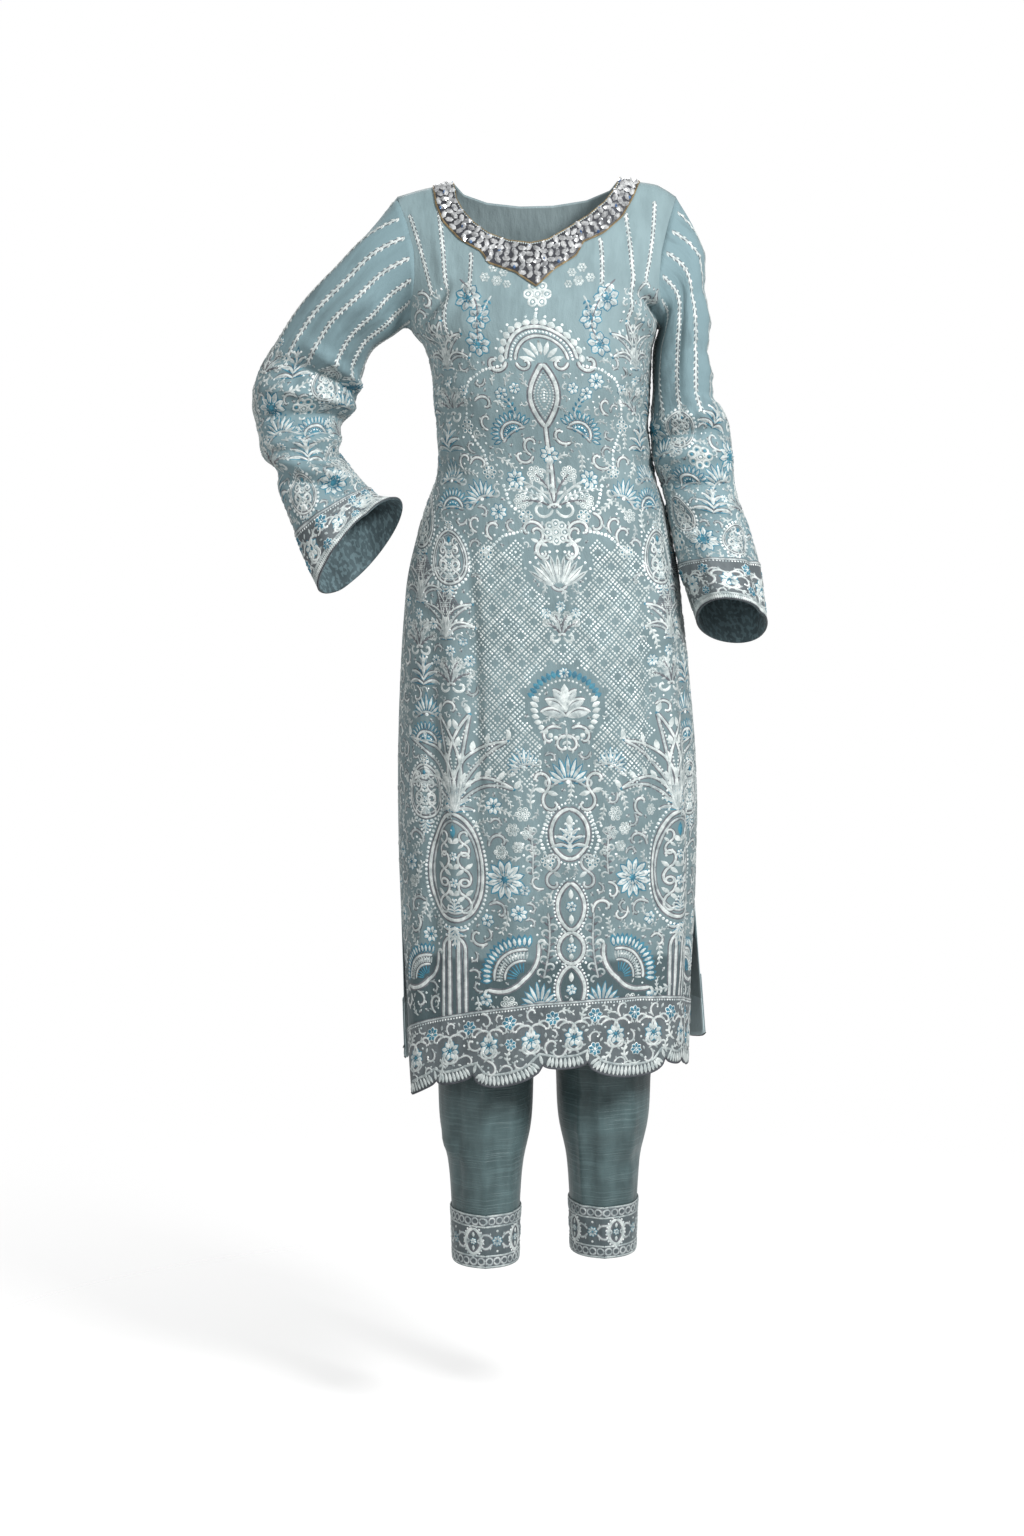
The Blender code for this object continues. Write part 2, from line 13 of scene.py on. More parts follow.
import bpy
import numpy as np
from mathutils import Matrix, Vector


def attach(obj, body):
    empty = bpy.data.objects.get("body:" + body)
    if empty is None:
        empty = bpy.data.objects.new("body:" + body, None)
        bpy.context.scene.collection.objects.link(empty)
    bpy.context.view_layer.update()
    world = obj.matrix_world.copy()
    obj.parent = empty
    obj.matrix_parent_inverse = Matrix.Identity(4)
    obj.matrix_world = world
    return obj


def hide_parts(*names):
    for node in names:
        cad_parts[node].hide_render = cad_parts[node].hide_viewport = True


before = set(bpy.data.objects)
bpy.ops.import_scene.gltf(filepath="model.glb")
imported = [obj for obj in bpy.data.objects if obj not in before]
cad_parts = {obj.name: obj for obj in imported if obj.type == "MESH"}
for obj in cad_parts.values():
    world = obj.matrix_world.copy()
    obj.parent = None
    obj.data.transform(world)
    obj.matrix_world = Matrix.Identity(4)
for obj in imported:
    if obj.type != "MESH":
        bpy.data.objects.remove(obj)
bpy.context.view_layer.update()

LOG = logging.getLogger("suit")
MM = 0.001
BODY = "root"
Array = np.ndarray
Piece = bpy.types.Object
Colour = tuple[float, float, float]


def linear(red: int, green: int, blue: int) -> Colour:
    """A linear colour from its 0 to 255 display values."""
    values = (red / 255, green / 255, blue / 255)
    return tuple(v / 12.92 if v <= 0.04045 else ((v + 0.055) / 1.055) ** 2.4 for v in values)


def rows(kind: Callable, table: Sequence[tuple]) -> tuple:
    """The rows of a table, each made into its kind."""
    return tuple(kind(*row) for row in table)


# ---------------------------------------------------------------- shader maths


class Tap:
    """A shader value: a node's output, with arithmetic that adds Math nodes."""

    def __init__(self, nodes: "Nodes", socket: bpy.types.NodeSocket) -> None:
        """Wrap an output socket of a node tree."""
        self.nodes = nodes
        self.socket = socket

    def math(self, operation: str, *others: "Tap | float", first: "Tap | float | None" = None) -> "Tap":
        """This value joined with others, and with first before it, through one Math node."""
        inputs = [self, *others] if first is None else [first, self, *others]
        return self.nodes.node("ShaderNodeMath", {"operation": operation}, dict(enumerate(inputs)))

    def __add__(self, other: "Tap | float") -> "Tap":
        """This value plus another."""
        return self.math("ADD", other)

    __radd__ = __add__

    def __sub__(self, other: "Tap | float") -> "Tap":
        """This value minus another."""
        return self.math("SUBTRACT", other)

    def __rsub__(self, other: float) -> "Tap":
        """Another value minus this one."""
        return self.math("SUBTRACT", first=other)

    def __mul__(self, other: "Tap | float") -> "Tap":
        """This value times another."""
        return self.math("MULTIPLY", other)

    __rmul__ = __mul__

    def step(self, low: float, high: float, to_low: float = 0.0, to_high: float = 1.0) -> "Tap":
        """This value, eased from one range into another.

        Args:
            low: where the result is to_low.
            high: where the result is to_high.
            to_low: the result at low.
            to_high: the result at high.

        Returns:
            The eased value.
        """
        settings = {"interpolation_type": "SMOOTHSTEP"}
        values = {"Value": self, "From Min": low, "From Max": high, "To Min": to_low, "To Max": to_high}
        return self.nodes.node("ShaderNodeMapRange", settings, values)


class Nodes:
    """A node tree, and the one way in which its nodes are added."""

    def __init__(self, tree: bpy.types.NodeTree) -> None:
        """Wrap a node tree."""
        self.tree = tree

    def node(self, kind: str, settings: dict | None = None, inputs: dict | None = None,
             output: int | str = 0) -> Tap:
        """Add a node.

        Args:
            kind: the node's type.
            settings: its properties, set before its inputs.
            inputs: values or taps for its inputs, by name or index.
            output: the output to give back.

        Returns:
            That output.
        """
        made = self.tree.nodes.new(kind)
        for key, value in (settings or {}).items():
            setattr(made, key, value)
        for key, value in (inputs or {}).items():
            self.feed(made.inputs[key], value)
        return Tap(self, made.outputs[output])

    def feed(self, socket: bpy.types.NodeSocket, value: object) -> None:
        """Link a tap into a socket, or set the socket's constant.

        Args:
            socket: the input socket.
            value: a tap, a number, a vector or a colour.
        """
        if isinstance(value, Tap):
            self.tree.links.new(value.socket, socket)
        elif isinstance(value, tuple) and len(value) == 3 and socket.type == "RGBA":
            socket.default_value = (*value, 1.0)
        else:
            socket.default_value = value


@dataclass
class Finish(Nodes):
    """A procedural material on a Principled shader.

    Attributes:
        name: the material's name.
        roughness: the shader's constant roughness, where nothing varies it.
        metallic: its metallic value.
        sheen: its sheen weight.
        coat: its coat weight.
    """

    name: str
    roughness: float = 0.6
    metallic: float = 0.0
    sheen: float = 0.0
    coat: float = 0.0

    def __post_init__(self) -> None:
        """Make the material and find its shader."""
        self.material = bpy.data.materials.new(self.name)
        self.material.use_nodes = True
        super().__init__(self.material.node_tree)
        self.shader = self.tree.nodes["Principled BSDF"]
        constants = {
            "Roughness": self.roughness, "Metallic": self.metallic,
            "Sheen Weight": self.sheen, "Coat Weight": self.coat,
        }
        for socket, value in constants.items():
            self.shader.inputs[socket].default_value = value

    def place(self, stretch: tuple[float, float, float] = (1, 1, 1)) -> Tap:
        """Object coordinates in millimetres, stretched along the axes.

        Args:
            stretch: how much each axis is drawn out.

        Returns:
            The coordinates.
        """
        where = self.node("ShaderNodeTexCoord", output="Object")
        scale = tuple(share / MM for share in stretch)
        return self.node("ShaderNodeVectorMath", {"operation": "MULTIPLY"}, {0: where, 1: scale})

    def cloth_place(self) -> Tap:
        """The cloth's own flat coordinates, in millimetres."""
        return self.node("ShaderNodeUVMap", {"uv_map": "flat"})

    def stretched(self, vector: Tap, across: float, down: float) -> Tap:
        """Flat coordinates, scaled across and down the cloth."""
        scale = (across, down, 1.0)
        return self.node("ShaderNodeVectorMath", {"operation": "MULTIPLY"}, {0: vector, 1: scale})

    def part(self, vector: Tap, axis: str) -> Tap:
        """One axis of a vector."""
        return self.node("ShaderNodeSeparateXYZ", inputs={0: vector}, output=axis)

    def noise(self, vector: Tap, size: float, detail: float = 2.0) -> Tap:
        """Soft noise from 0 to 1, with features of about size millimetres."""
        values = {"Vector": vector, "Scale": 1 / size, "Detail": detail}
        return self.node("ShaderNodeTexNoise", {}, values)

    def cells(self, vector: Tap, size: float) -> Tap:
        """A random value from 0 to 1 for each cell of about size millimetres.

        Args:
            vector: where it is read.
            size: of a cell, in millimetres.

        Returns:
            The value.
        """
        values = {"Vector": vector, "Scale": 1 / size}
        colour = self.node("ShaderNodeTexVoronoi", {}, values, output="Color")
        return self.node("ShaderNodeSeparateXYZ", inputs={0: colour})

    def mix(self, share: Tap | float, first: Tap | Colour, second: Tap | Colour) -> Tap:
        """A colour between two others, by the share of the second."""
        settings = {"data_type": "RGBA"}
        return self.node("ShaderNodeMix", settings, {0: share, 6: first, 7: second}, output=2)

    def colour(self, value: Tap | Colour) -> None:
        """Set the base colour."""
        self.feed(self.shader.inputs["Base Color"], value)

    def relief(self, height: Tap, depth: float) -> None:
        """Bump the surface by a height from 0 to 1, depth millimetres deep."""
        values = {"Strength": 1.0, "Distance": depth * MM, "Height": height}
        self.feed(self.shader.inputs["Normal"], self.node("ShaderNodeBump", {}, values))


# ---------------------------------------------------------------- forms, in millimetres

ARMHOLE_ROWS = 7
ROUNDNESS = 2.3
SLEEVE_ROUNDNESS = 2.1
LEG_ROUNDNESS = 2.1
UNDERARM = -178.0
RIDGE_Y = 5.0
RISE_DEPTH = 150.0
RISE_POWER = 0.5
PRESSED = 0.02          # share of a leg's girth over which a pressed crease fades
PRESS_LINES = (0.25, 0.75)      # where the pressed creases run, as shares of the girth
LEG_POINTS = 96         # round a leg
ARMHOLE_POINTS = 28     # up each half of an armhole
PITCH = 2.5             # of a surface's tables, in millimetres on the cloth


class TorsoRow(NamedTuple):
    """One level section of the kameez: its sides, its depth each way and its turn in degrees."""
    height: float
    right: float
    left: float
    front: float
    back: float
    turn: float


TORSO = rows(TorsoRow, (
    (20, -186, 186, 80, 80, 0.0),
    (-60, -186, 186, 88, 90, 0.0),
    (-100, -180, 180, 97, 98, 0.0),
    (-150, -160, 158, 106, 101, 0.0),
    (-178, -150, 143, 110, 99, 0.0),
    (-194, -137, 137, 112, 97, 0.2),
    (-226, -126.5, 133, 113, 92, 0.6),
    (-263, -123.5, 130.5, 107, 86, 1.0),
    (-300, -119.5, 129, 95, 81, 1.5),
    (-347, -119.5, 137, 86, 81, 2.4),
    (-394, -135.5, 151, 90, 89, 3.4),
    (-431, -146, 159, 96, 98, 4.2),
    (-468, -154.5, 167, 103, 107, 4.7),
    (-522, -160, 175, 111, 118, 5.0),
    (-600, -164.5, 183, 119, 127, 5.3),
    (-686, -167, 190, 126, 133, 5.5),
    (-748, -167, 192, 129, 136, 5.7),
    (-810, -166, 191, 131, 139, 6.0),
    (-864, -164, 189.5, 133, 142, 6.3),
    (-932, -162, 186, 134, 146, 6.6),
    (-1028, -161, 182, 136, 150, 7.0),
    (-1100, -160, 180, 137, 152, 7.2),
))


class Place(NamedTuple):
    """A point of a seam or an edge, as seen from the front."""
    x: float
    z: float


SHOULDER_LINE = rows(Place, (
    (-168, -17), (-138, -8), (-100, -1), (-50, 6), (50, 9), (99, 5), (122, 1), (145, -3), (167, -17),
))
ARMHOLE_RIGHT = rows(Place, (
    (-150, UNDERARM), (-149.5, -151), (-145, -116), (-146, -86), (-155, -50), (-168, -17),
))
ARMHOLE_LEFT = rows(Place, (
    (143, UNDERARM), (143.5, -151), (144, -116), (147, -86), (156, -50), (167, -17),
))
NECK_FRONT = rows(Place, (
    (-100, -1), (-96, -22), (-88, -37), (-75, -52), (-58, -65), (-34, -74), (-8, -77), (12, -73),
    (34, -60), (60, -43), (80, -26), (92, -10), (99, 5),
))
BAND_FRONT = rows(Place, (
    (-124, -4.5), (-120, -29), (-111, -50), (-92, -71), (-66, -87), (-57, -101), (-26, -112), (-2, -129),
    (20, -108), (45, -92), (54, -75), (78, -64), (100, -44), (114, -19), (122, 1),
))
NECK_BACK = rows(Place, (
    (-100, -1), (-88, -13), (-60, -22), (-20, -26), (20, -25), (60, -19), (88, -8), (99, 5),
))
BAND_BACK = rows(Place, (
    (-116, -3), (-98, -24), (-64, -36), (-20, -41), (20, -40), (64, -33), (98, -19), (115, 2),
))

SKIRT_ROWS = (UNDERARM, -202, -232, -270, -308, -347, -394, -440, -490, -550, -620, -700, -775)
SLIT_TOP = -848.0       # where the side seams end
LINING_HEM = -912.0     # where the lining ends


class SlitEdge(NamedTuple):
    """How far a panel's right and left edges swing in from the side seams at the hem, in degrees."""
    right: float
    left: float


FRONT_SLIT = SlitEdge(20.0, 8.0)
BACK_SLIT = SlitEdge(9.0, 2.0)
BACK_FLARE = 26.0       # the back panel's left edge swings out this far at the hem


class HemPoint(NamedTuple):
    """The hem's height at one place across a panel, from -1 at the right to 1 at the left."""
    across: float
    height: float


FRONT_HEM = rows(HemPoint, (
    (-1.0, -1078), (-0.65, -1058), (-0.4, -1046), (-0.05, -1031), (0.5, -1032), (1.0, -1053),
))
BACK_HEM = rows(HemPoint, (
    (-1.0, -1052), (-0.5, -1044), (0.0, -1040), (0.6, -1036), (1.0, -1028),
))
BORDER_DEPTH = 72.0     # from the top of the hem border to the scallops' notches


class Scallop(NamedTuple):
    """One scallop of the hem: its columns of the panel, its width across and its drop."""
    columns: int
    across: float
    drop: float


SCALLOPS = rows(Scallop, (
    (2, 0.353, 6), (2, 0.256, 7), (4, 0.302, 19), (2, 0.157, 6), (4, 0.420, 21), (2, 0.200, 7),
    (2, 0.312, 6),
))


class Flute(NamedTuple):
    """A long soft fold of the skirt: its place round the body in degrees, its width and depth."""
    angle: float
    spread: float
    depth: float


FLUTES = rows(Flute, (
    (-66, 9, 5.0), (-38, 8, -3.0), (-14, 9, 3.0), (24, 8, -2.5), (47, 9, 4.0), (72, 8, -3.0),
    (112, 9, 5.0), (140, 9, -4.0), (168, 9, 4.0), (-160, 9, -3.5), (-132, 9, 4.5), (-104, 8, -3.0),
))
FLUTE_TOP = -420.0      # the flutes fade out above this height
FLUTE_FULL = -950.0     # and have their full depth below this one


class SleeveRing(NamedTuple):
    """A ring of a sleeve: its centre, then the half axes to its outer line and to its back."""
    x: float
    y: float
    z: float
    outer_x: float
    outer_z: float
    back_x: float
    back_y: float
    back_z: float


SLEEVE_RIGHT = rows(SleeveRing, (
    (-181, 5, -117, -22, 57, 0, 47, 0),
    (-206, 8, -142, -33, 41.5, 0, 52, 0),
    (-238, 14, -172, -40, 28, 0, 51, 0),
    (-260.5, 24, -207.5, -50.5, 19, 0, 50, 0),
    (-276, 32, -238, -61, 9.5, 0, 50, 0),
    (-283, 36, -268, -61, 1, 0, 51, 0),
    (-288, 36, -303, -48, 0, 1, 50, -2),
    (-278, 32, -331, -42.5, -4, 2, 48, -4),
    (-264, 24, -362, -45.5, -12.5, 4, 46, -4),
    (-248, 16, -391, -43, -26.5, 9, 44, -2),
    (-231.5, 8, -419, -38.5, -42.5, 17, 41, 0),
    (-211, 2, -436, -39.5, -57, 28, 37, 0),
))
SLEEVE_LEFT = rows(SleeveRing, (
    (169, 4, -118, 22.5, 56.5, 0, 50, 0),
    (175.5, 4, -153, 27, 31, 0, 56, 0),
    (176, 5, -191, 29.5, 9, 0, 58, 0),
    (177, 6, -250, 34.5, 0, 0, 56, 0),
    (184.5, 8, -287, 44.5, 2, 0, 54, 0),
    (188, 4, -322, 46, 0, 0, 52, 0),
    (198, -6, -370, 40, 0, 0, 48, 0),
    (209.5, -17, -419, 45, 0, 0, 50, -3),
    (217, -27, -455, 46.5, 0, 0, 52, -9),
    (224, -36, -492, 44, -4, 0, 54, -19),
    (231, -43, -524, 40, -6, 0, 55, -29),
))

TROUSER_X = 9.5         # the trousers' middle
WAISTBAND_TOP = -345.0
WAISTBAND_SEAM = -385.0
CROTCH_Y = 4.0


class HipRow(NamedTuple):
    """A level section of the trousers above the crotch."""
    height: float
    half_width: float
    front: float
    back: float


HIPS = rows(HipRow, (
    (-385, 113, 74, 72), (-440, 136, 84, 88), (-500, 148, 93, 101), (-560, 152, 97, 105),
    (-602, 153, 97, 104), (-640, 153, 96, 102),
))
CLOSING_TOP = -545.0    # below this height the centre seams curve in to the crotch
CROTCH = -640.0


class LegRow(NamedTuple):
    """A level section of one leg, from the crotch down: its middle and its half axes."""
    height: float
    offset: float
    half_width: float
    half_depth: float


LEGS = rows(LegRow, (
    (-640, 77, 76.5, 96), (-715, 77, 74, 88), (-800, 75.5, 70, 80), (-890, 74, 66, 74),
    (-980, 72.5, 61.5, 70), (-1070, 71, 57.5, 66), (-1130, 71, 54, 63), (-1170, 71, 45.5, 58),
    (-1224, 71, 41, 53), (-1288, 71, 38.5, 50),
))
CREASE = 2.5            # how far the pressed creases stand out from the legs' ovals
STANCE_RIGHT = -24.0    # the right leg stands forward at its hem
STANCE_LEFT = 20.0      # and the left leg back

LAID = 1.5              # the face of a band or border above its cloth's face
UNDER = 1.8             # the face of the lining below it
LINING_TOP = -700.0
TROUSER_CUFF_TOP = -1224.0
STONE_PITCH = 9.8       # along the neck band
STONE_ROOM = 8.6        # across it, for each stone
STONE_SIZE = (10.6, 5.8)        # a clear stone's length and width
STONE_LEANS = (52, -38, 80, 8)  # how far the stones lean from the band's way, in degrees
BLUE_SIZE = (4.4, 4.2)
BLUE_PLACES = (0.1, 0.5, 0.86)  # of the blue stones, in turn, as shares of the band's width
VINE_PITCH = 26.0       # of a sleeve's vines, round it
VINE_TOP = 5.0          # how far below the shoulder seam they start
VINE_STEP = 8.0         # between the heights at which they end
SLEEVE_LEAF = 5.4       # size of their leaves
SLEEVE_EDGE = 11.0      # depth of the barred edge of a sleeve's border
RIGHT_BORDER = 56.0     # depth of the right sleeve's border
LEFT_BORDER = 70.0      # and of the left one's
BORDER_MARGIN = 2.0     # how far inside the panel's edges its border's stitches stay
BAR_PITCH = 5.4         # of the bars along the scalloped hem
BAR = 13.0              # and their length


class Filling(NamedTuple):
    """An upright rectangle of a cloth to scatter small motifs over, and how densely."""
    low: complex
    high: complex
    density: float
    teal: float = 1.0


FRONT_FILLINGS = rows(Filling, (
    (-250 - 980j, 250 - 640j, 1.0), (-240 - 440j, 240 - 330j, 0.25), (-110 - 640j, 110 - 440j, 0.2),
    (-104 - 330j, 104 - 200j, 0.05, 0.3), (-250 - 660j, -104 - 130j, 1.1, 0.6),
    (104 - 660j, 250 - 130j, 1.1, 0.6),
))
YOKE_VINES = (      # x and z at the top, then x and z at the foot
    (-152, -40, -124, -138), (-117, -35, -101, -196), (-78, -88, -81, -140),
    (74, -70, 75, -126), (104, -36, 105, -170), (140, -24, 126, -124),
)


def column(table: Sequence, name: str) -> Array:
    """One named column of a table."""
    return np.array([getattr(row, name) for row in table], float)


def follow(xs: Array, ys: Array, at: Array) -> Array:
    """Values of a smooth curve through points.

    Args:
        xs: the points' places, rising.
        ys: their values, one each or one row each.
        at: the places to read.

    Returns:
        The curve's values there.
    """
    slopes = np.gradient(ys, xs, axis=0)
    at = np.clip(at, xs[0], xs[-1])
    cell = np.clip(np.searchsorted(xs, at, side="right") - 1, 0, len(xs) - 2)
    step = xs[cell + 1] - xs[cell]
    t = (at - xs[cell]) / step
    if np.ndim(ys) > 1:
        extra = (1,) * (np.ndim(ys) - 1)
        step = step.reshape(step.shape + extra)
        t = t.reshape(t.shape + extra)
    rest = 1 - t
    near = ys[cell] * (1 + 2 * t) * rest ** 2 + slopes[cell] * step * t * rest ** 2
    far = ys[cell + 1] * (3 - 2 * t) * t ** 2 - slopes[cell + 1] * step * rest * t ** 2
    return near + far


def level(table: Sequence, name: str, height: Array) -> Array:
    """A column of a table of level sections, at any height."""
    return follow(column(table, "height")[::-1], column(table, name)[::-1], height)


def oval(wave: Array, roundness: float) -> Array:
    """A sine or a cosine, drawn out toward the corners of a rounder or squarer oval."""
    return np.sign(wave) * np.abs(wave) ** (2 / roundness)


def ramp(height: Array, top: float, foot: Array | float) -> Array:
    """How far a height lies from the top, at 0, down to the foot, at 1."""
    return np.clip((top - height) / (top - foot), 0, 1)


def toward(degrees: Array | float) -> Array:
    """The step of length one that points at an angle to the left of straight across."""
    return np.exp(1j * np.radians(degrees))


def along(places: Sequence[Place], count: int) -> Array:
    """Evenly spaced (x, z) points on the line through a list of places.

    Args:
        places: the line's own points.
        count: how many points to give.

    Returns:
        The points, one row each.
    """
    points = np.array(places, float)
    run = np.append(0, np.cumsum(np.hypot(*np.diff(points, axis=0).T)))
    at = np.linspace(0, run[-1], count)
    return np.column_stack([np.interp(at, run, points[:, axis]) for axis in (0, 1)])


def fold_swell(angle: Array, height: Array) -> Array:
    """How far the skirt's flutes push the cloth out at an angle and a height.

    Args:
        angle: round the body, in degrees.
        height: in millimetres.

    Returns:
        The push outward, in millimetres.
    """
    growth = ramp(height, FLUTE_TOP, FLUTE_FULL) ** 1.5
    swell = np.zeros(np.broadcast(angle, height).shape)
    for flute in FLUTES:
        away = (angle - flute.angle + 180) % 360 - 180
        swell += flute.depth * np.exp(-(away / flute.spread) ** 2)
    return swell * growth


def torso_points(angle: Array, height: Array) -> Array:
    """Points of the kameez, closing over the shoulders.

    Args:
        angle: the place round the body in degrees, 0 in front and positive to the left.
        height: the height in millimetres.

    Returns:
        The points, one row of three each.
    """
    turned = np.radians(angle + level(TORSO, "turn", height))
    sine, cosine = np.sin(turned), np.cos(turned)
    right, left = level(TORSO, "right", height), level(TORSO, "left", height)
    depth = np.where(cosine > 0, level(TORSO, "front", height), level(TORSO, "back", height))
    x = (right + left) / 2 + (left - right) / 2 * oval(sine, ROUNDNESS)
    line = np.array(SHOULDER_LINE, float)
    below = follow(line[:, 0], line[:, 1], x) - height
    rise = np.clip(below / RISE_DEPTH, 0, 1) ** RISE_POWER
    lean = RIDGE_Y * np.clip((height - UNDERARM) / -UNDERARM, 0, 1)
    y = lean - depth * rise * oval(cosine, ROUNDNESS)
    swell = fold_swell(angle, height)
    return np.stack([x + swell * sine, y - swell * cosine, height + 0 * x], axis=-1)


def patch(bottom: Array, top: Array, start: Array, end: Array) -> Array:
    """A grid of (x, z) points that fills the space between four edges.

    Args:
        bottom: points of the lower edge.
        top: points of the upper edge.
        start: points of the right edge, upward.
        end: points of the left edge, upward.

    Returns:
        The grid's rows, upward.
    """
    s = np.linspace(0, 1, len(bottom))[None, :, None]
    v = np.linspace(0, 1, len(start))[:, None, None]
    across = (1 - v) * bottom + v * top
    upright = (1 - s) * start[:, None] + s * end[:, None]
    corners = (1 - v) * ((1 - s) * bottom[0] + s * bottom[-1]) + v * ((1 - s) * top[0] + s * top[-1])
    return across + upright - corners


def unit(vectors: Array) -> Array:
    """The vectors at length one."""
    return vectors / (np.linalg.norm(vectors, axis=-1, keepdims=True) + 1e-12)


def grid_normals(points: Array, facing: float) -> Array:
    """Outward normals of a grid; facing is 1 where row x column points outward, else -1.

    Args:
        points: the grid, rows by columns by three.
        facing: 1 where row x column points outward, else -1.

    Returns:
        A normal for each point.
    """
    across = points[1:, 1:] - points[:-1, :-1]
    other = points[:-1, 1:] - points[1:, :-1]
    faces = np.cross(across, other) * facing
    total = np.zeros_like(points)
    for row, col in ((0, 0), (0, 1), (1, 0), (1, 1)):
        total[row:row + faces.shape[0], col:col + faces.shape[1]] += faces
    return unit(total)


class Crease(NamedTuple):
    """A soft ridge (or trough, with a depth below 0) between two places on a cloth."""
    start: complex
    end: complex
    width: float
    depth: float
    bend: float = 0.0

    def push(self, flat: Array) -> Array:
        """How far the crease moves the cloth out at each place.

        Args:
            flat: the places.

        Returns:
            The push in millimetres.
        """
        way = self.end - self.start
        local = (flat - self.start) / way
        t = local.real
        inside = np.clip(t, 0, 1)
        aside = local.imag * abs(way) - self.bend * 4 * inside * (1 - inside)
        past = (t - inside) * abs(way)
        taper = np.sin(np.pi * np.clip(0.5 + (t - 0.5) * 0.92, 0, 1)) ** 0.7
        return self.depth * taper * np.exp(-(aside / self.width) ** 2 - (past / self.width) ** 2)


FRONT_CREASES = rows(Crease, (
    (121 - 130j, 194 - 168j, 6, -14.5, -4), (108 - 112j, 168 - 150j, 8, 7.0, -4),
    (106 - 144j, 174 - 186j, 8, 6.0, -4), (-104 - 122j, -150 - 172j, 6, -7.5, 3),
    (206 - 188j, 168 - 350j, 22, 5.2, 4), (168 - 300j, 202 - 500j, 22, 3.6, -3),
    (-98 - 142j, -146 - 192j, 8, 4.7, 3), (118 - 40j, 108 - 128j, 9, 3.4, 4),
    (-120 - 44j, -108 - 132j, 9, 3.4, -4), (-70 - 80j, -84 - 210j, 12, 2.7),
    (-160 - 262j, -92 - 236j, 7, 4.3, 4), (-162 - 288j, -84 - 270j, 8, -4.6, 4),
    (-160 - 318j, -96 - 306j, 7, 4.6, 2), (-164 - 344j, -104 - 348j, 8, -3.5),
    (160 - 250j, 96 - 226j, 7, 4.6, -4), (162 - 280j, 90 - 258j, 8, -4.6, -4),
    (160 - 308j, 102 - 292j, 7, 4.1, -2), (164 - 338j, 108 - 334j, 8, -4.1),
    (-106 - 420j, -112 - 800j, 9, -5.7, 4), (-128 - 470j, -136 - 960j, 13, 5.4, -3),
    (-160 - 520j, -176 - 1000j, 11, -5.4, 4), (104 - 500j, 116 - 985j, 9, -5.9, -4),
    (128 - 430j, 142 - 940j, 13, 5.7, 3), (158 - 560j, 178 - 1010j, 10, -5.4, 4),
    (-62 - 600j, -74 - 990j, 14, 4.1, 3), (-34 - 700j, -42 - 1010j, 12, -4.1),
    (40 - 640j, 58 - 1000j, 14, 4.3, -3), (78 - 720j, 88 - 1010j, 10, -4.1, 2),
    (4 - 780j, 10 - 1020j, 12, 3.2), (-20 - 430j, -84 - 470j, 9, 2.7, 6),
    (24 - 436j, 88 - 462j, 9, -2.7, -5),
))
BACK_CREASES = rows(Crease, (
    (196 - 188j, 174 - 350j, 22, 5.2, 4), (174 - 300j, 246 - 500j, 22, 3.6, -3),
    (106 - 120j, 150 - 172j, 7, -6.8, -3), (98 - 140j, 146 - 190j, 8, 5.4, -3),
    (-104 - 124j, -150 - 176j, 7, -6.1, 3), (-98 - 146j, -146 - 196j, 8, 4.7, 3),
    (-158 - 250j, -60 - 262j, 9, 4.6, 8), (-150 - 284j, -20 - 300j, 10, -4.6, 9),
    (-154 - 316j, -44 - 330j, 9, 4.6, 7), (156 - 246j, 50 - 268j, 9, 4.6, -8),
    (150 - 280j, 14 - 308j, 10, -4.3, -9), (154 - 320j, 60 - 340j, 9, 4.1, -6),
    (-30 - 60j, -44 - 220j, 12, 3), (44 - 70j, 36 - 230j, 12, -3),
    (-124 - 470j, -138 - 1030j, 13, 5.9, 4), (-90 - 560j, -98 - 1040j, 10, -5.7, -3),
    (-50 - 500j, -58 - 1040j, 14, 5.4, 3), (-12 - 620j, -16 - 1040j, 11, -5.1),
    (30 - 540j, 38 - 1040j, 14, 5.7, -3), (74 - 600j, 84 - 1040j, 10, -5.7, 3),
    (112 - 480j, 128 - 1030j, 13, 5.9, -4), (154 - 560j, 172 - 1020j, 10, -5.4),
))
RIGHT_SLEEVE_CREASES = rows(Crease, (
    (-34 - 12j, -44 - 196j, 9, -5.1, -3), (-8 - 24j, -10 - 188j, 10, 4.4, 4),
    (24 - 10j, 26 - 186j, 9, -5.1, 3), (60 - 16j, 70 - 190j, 10, 4.8, -4),
    (112 - 20j, 116 - 180j, 11, -5.1), (150 - 30j, 146 - 190j, 10, 4.8),
    (-92 - 196j, 34 - 150j, 7, 7.8, 10), (-96 - 214j, 58 - 176j, 7, -8.8, 12),
    (-94 - 230j, 76 - 208j, 8, 9.5, 10), (-96 - 246j, 84 - 240j, 7, -9.2, 8),
    (-92 - 262j, 72 - 270j, 8, 8.5, -4), (-90 - 280j, 54 - 302j, 7, -7.5, -8),
    (84 - 276j, -56 - 338j, 9, 10.5, -8), (80 - 300j, -60 - 360j, 8, -9.0, -8),
    (130 - 200j, 196 - 222j, 8, 7.1, 5), (120 - 232j, 200 - 246j, 8, -7.1, 4),
    (124 - 262j, 196 - 268j, 8, 6.8), (96 - 300j, 106 - 430j, 10, 5.1), (6 - 350j, 2 - 440j, 10, 5.1),
    (-50 - 360j, -58 - 440j, 9, -4.8),
))
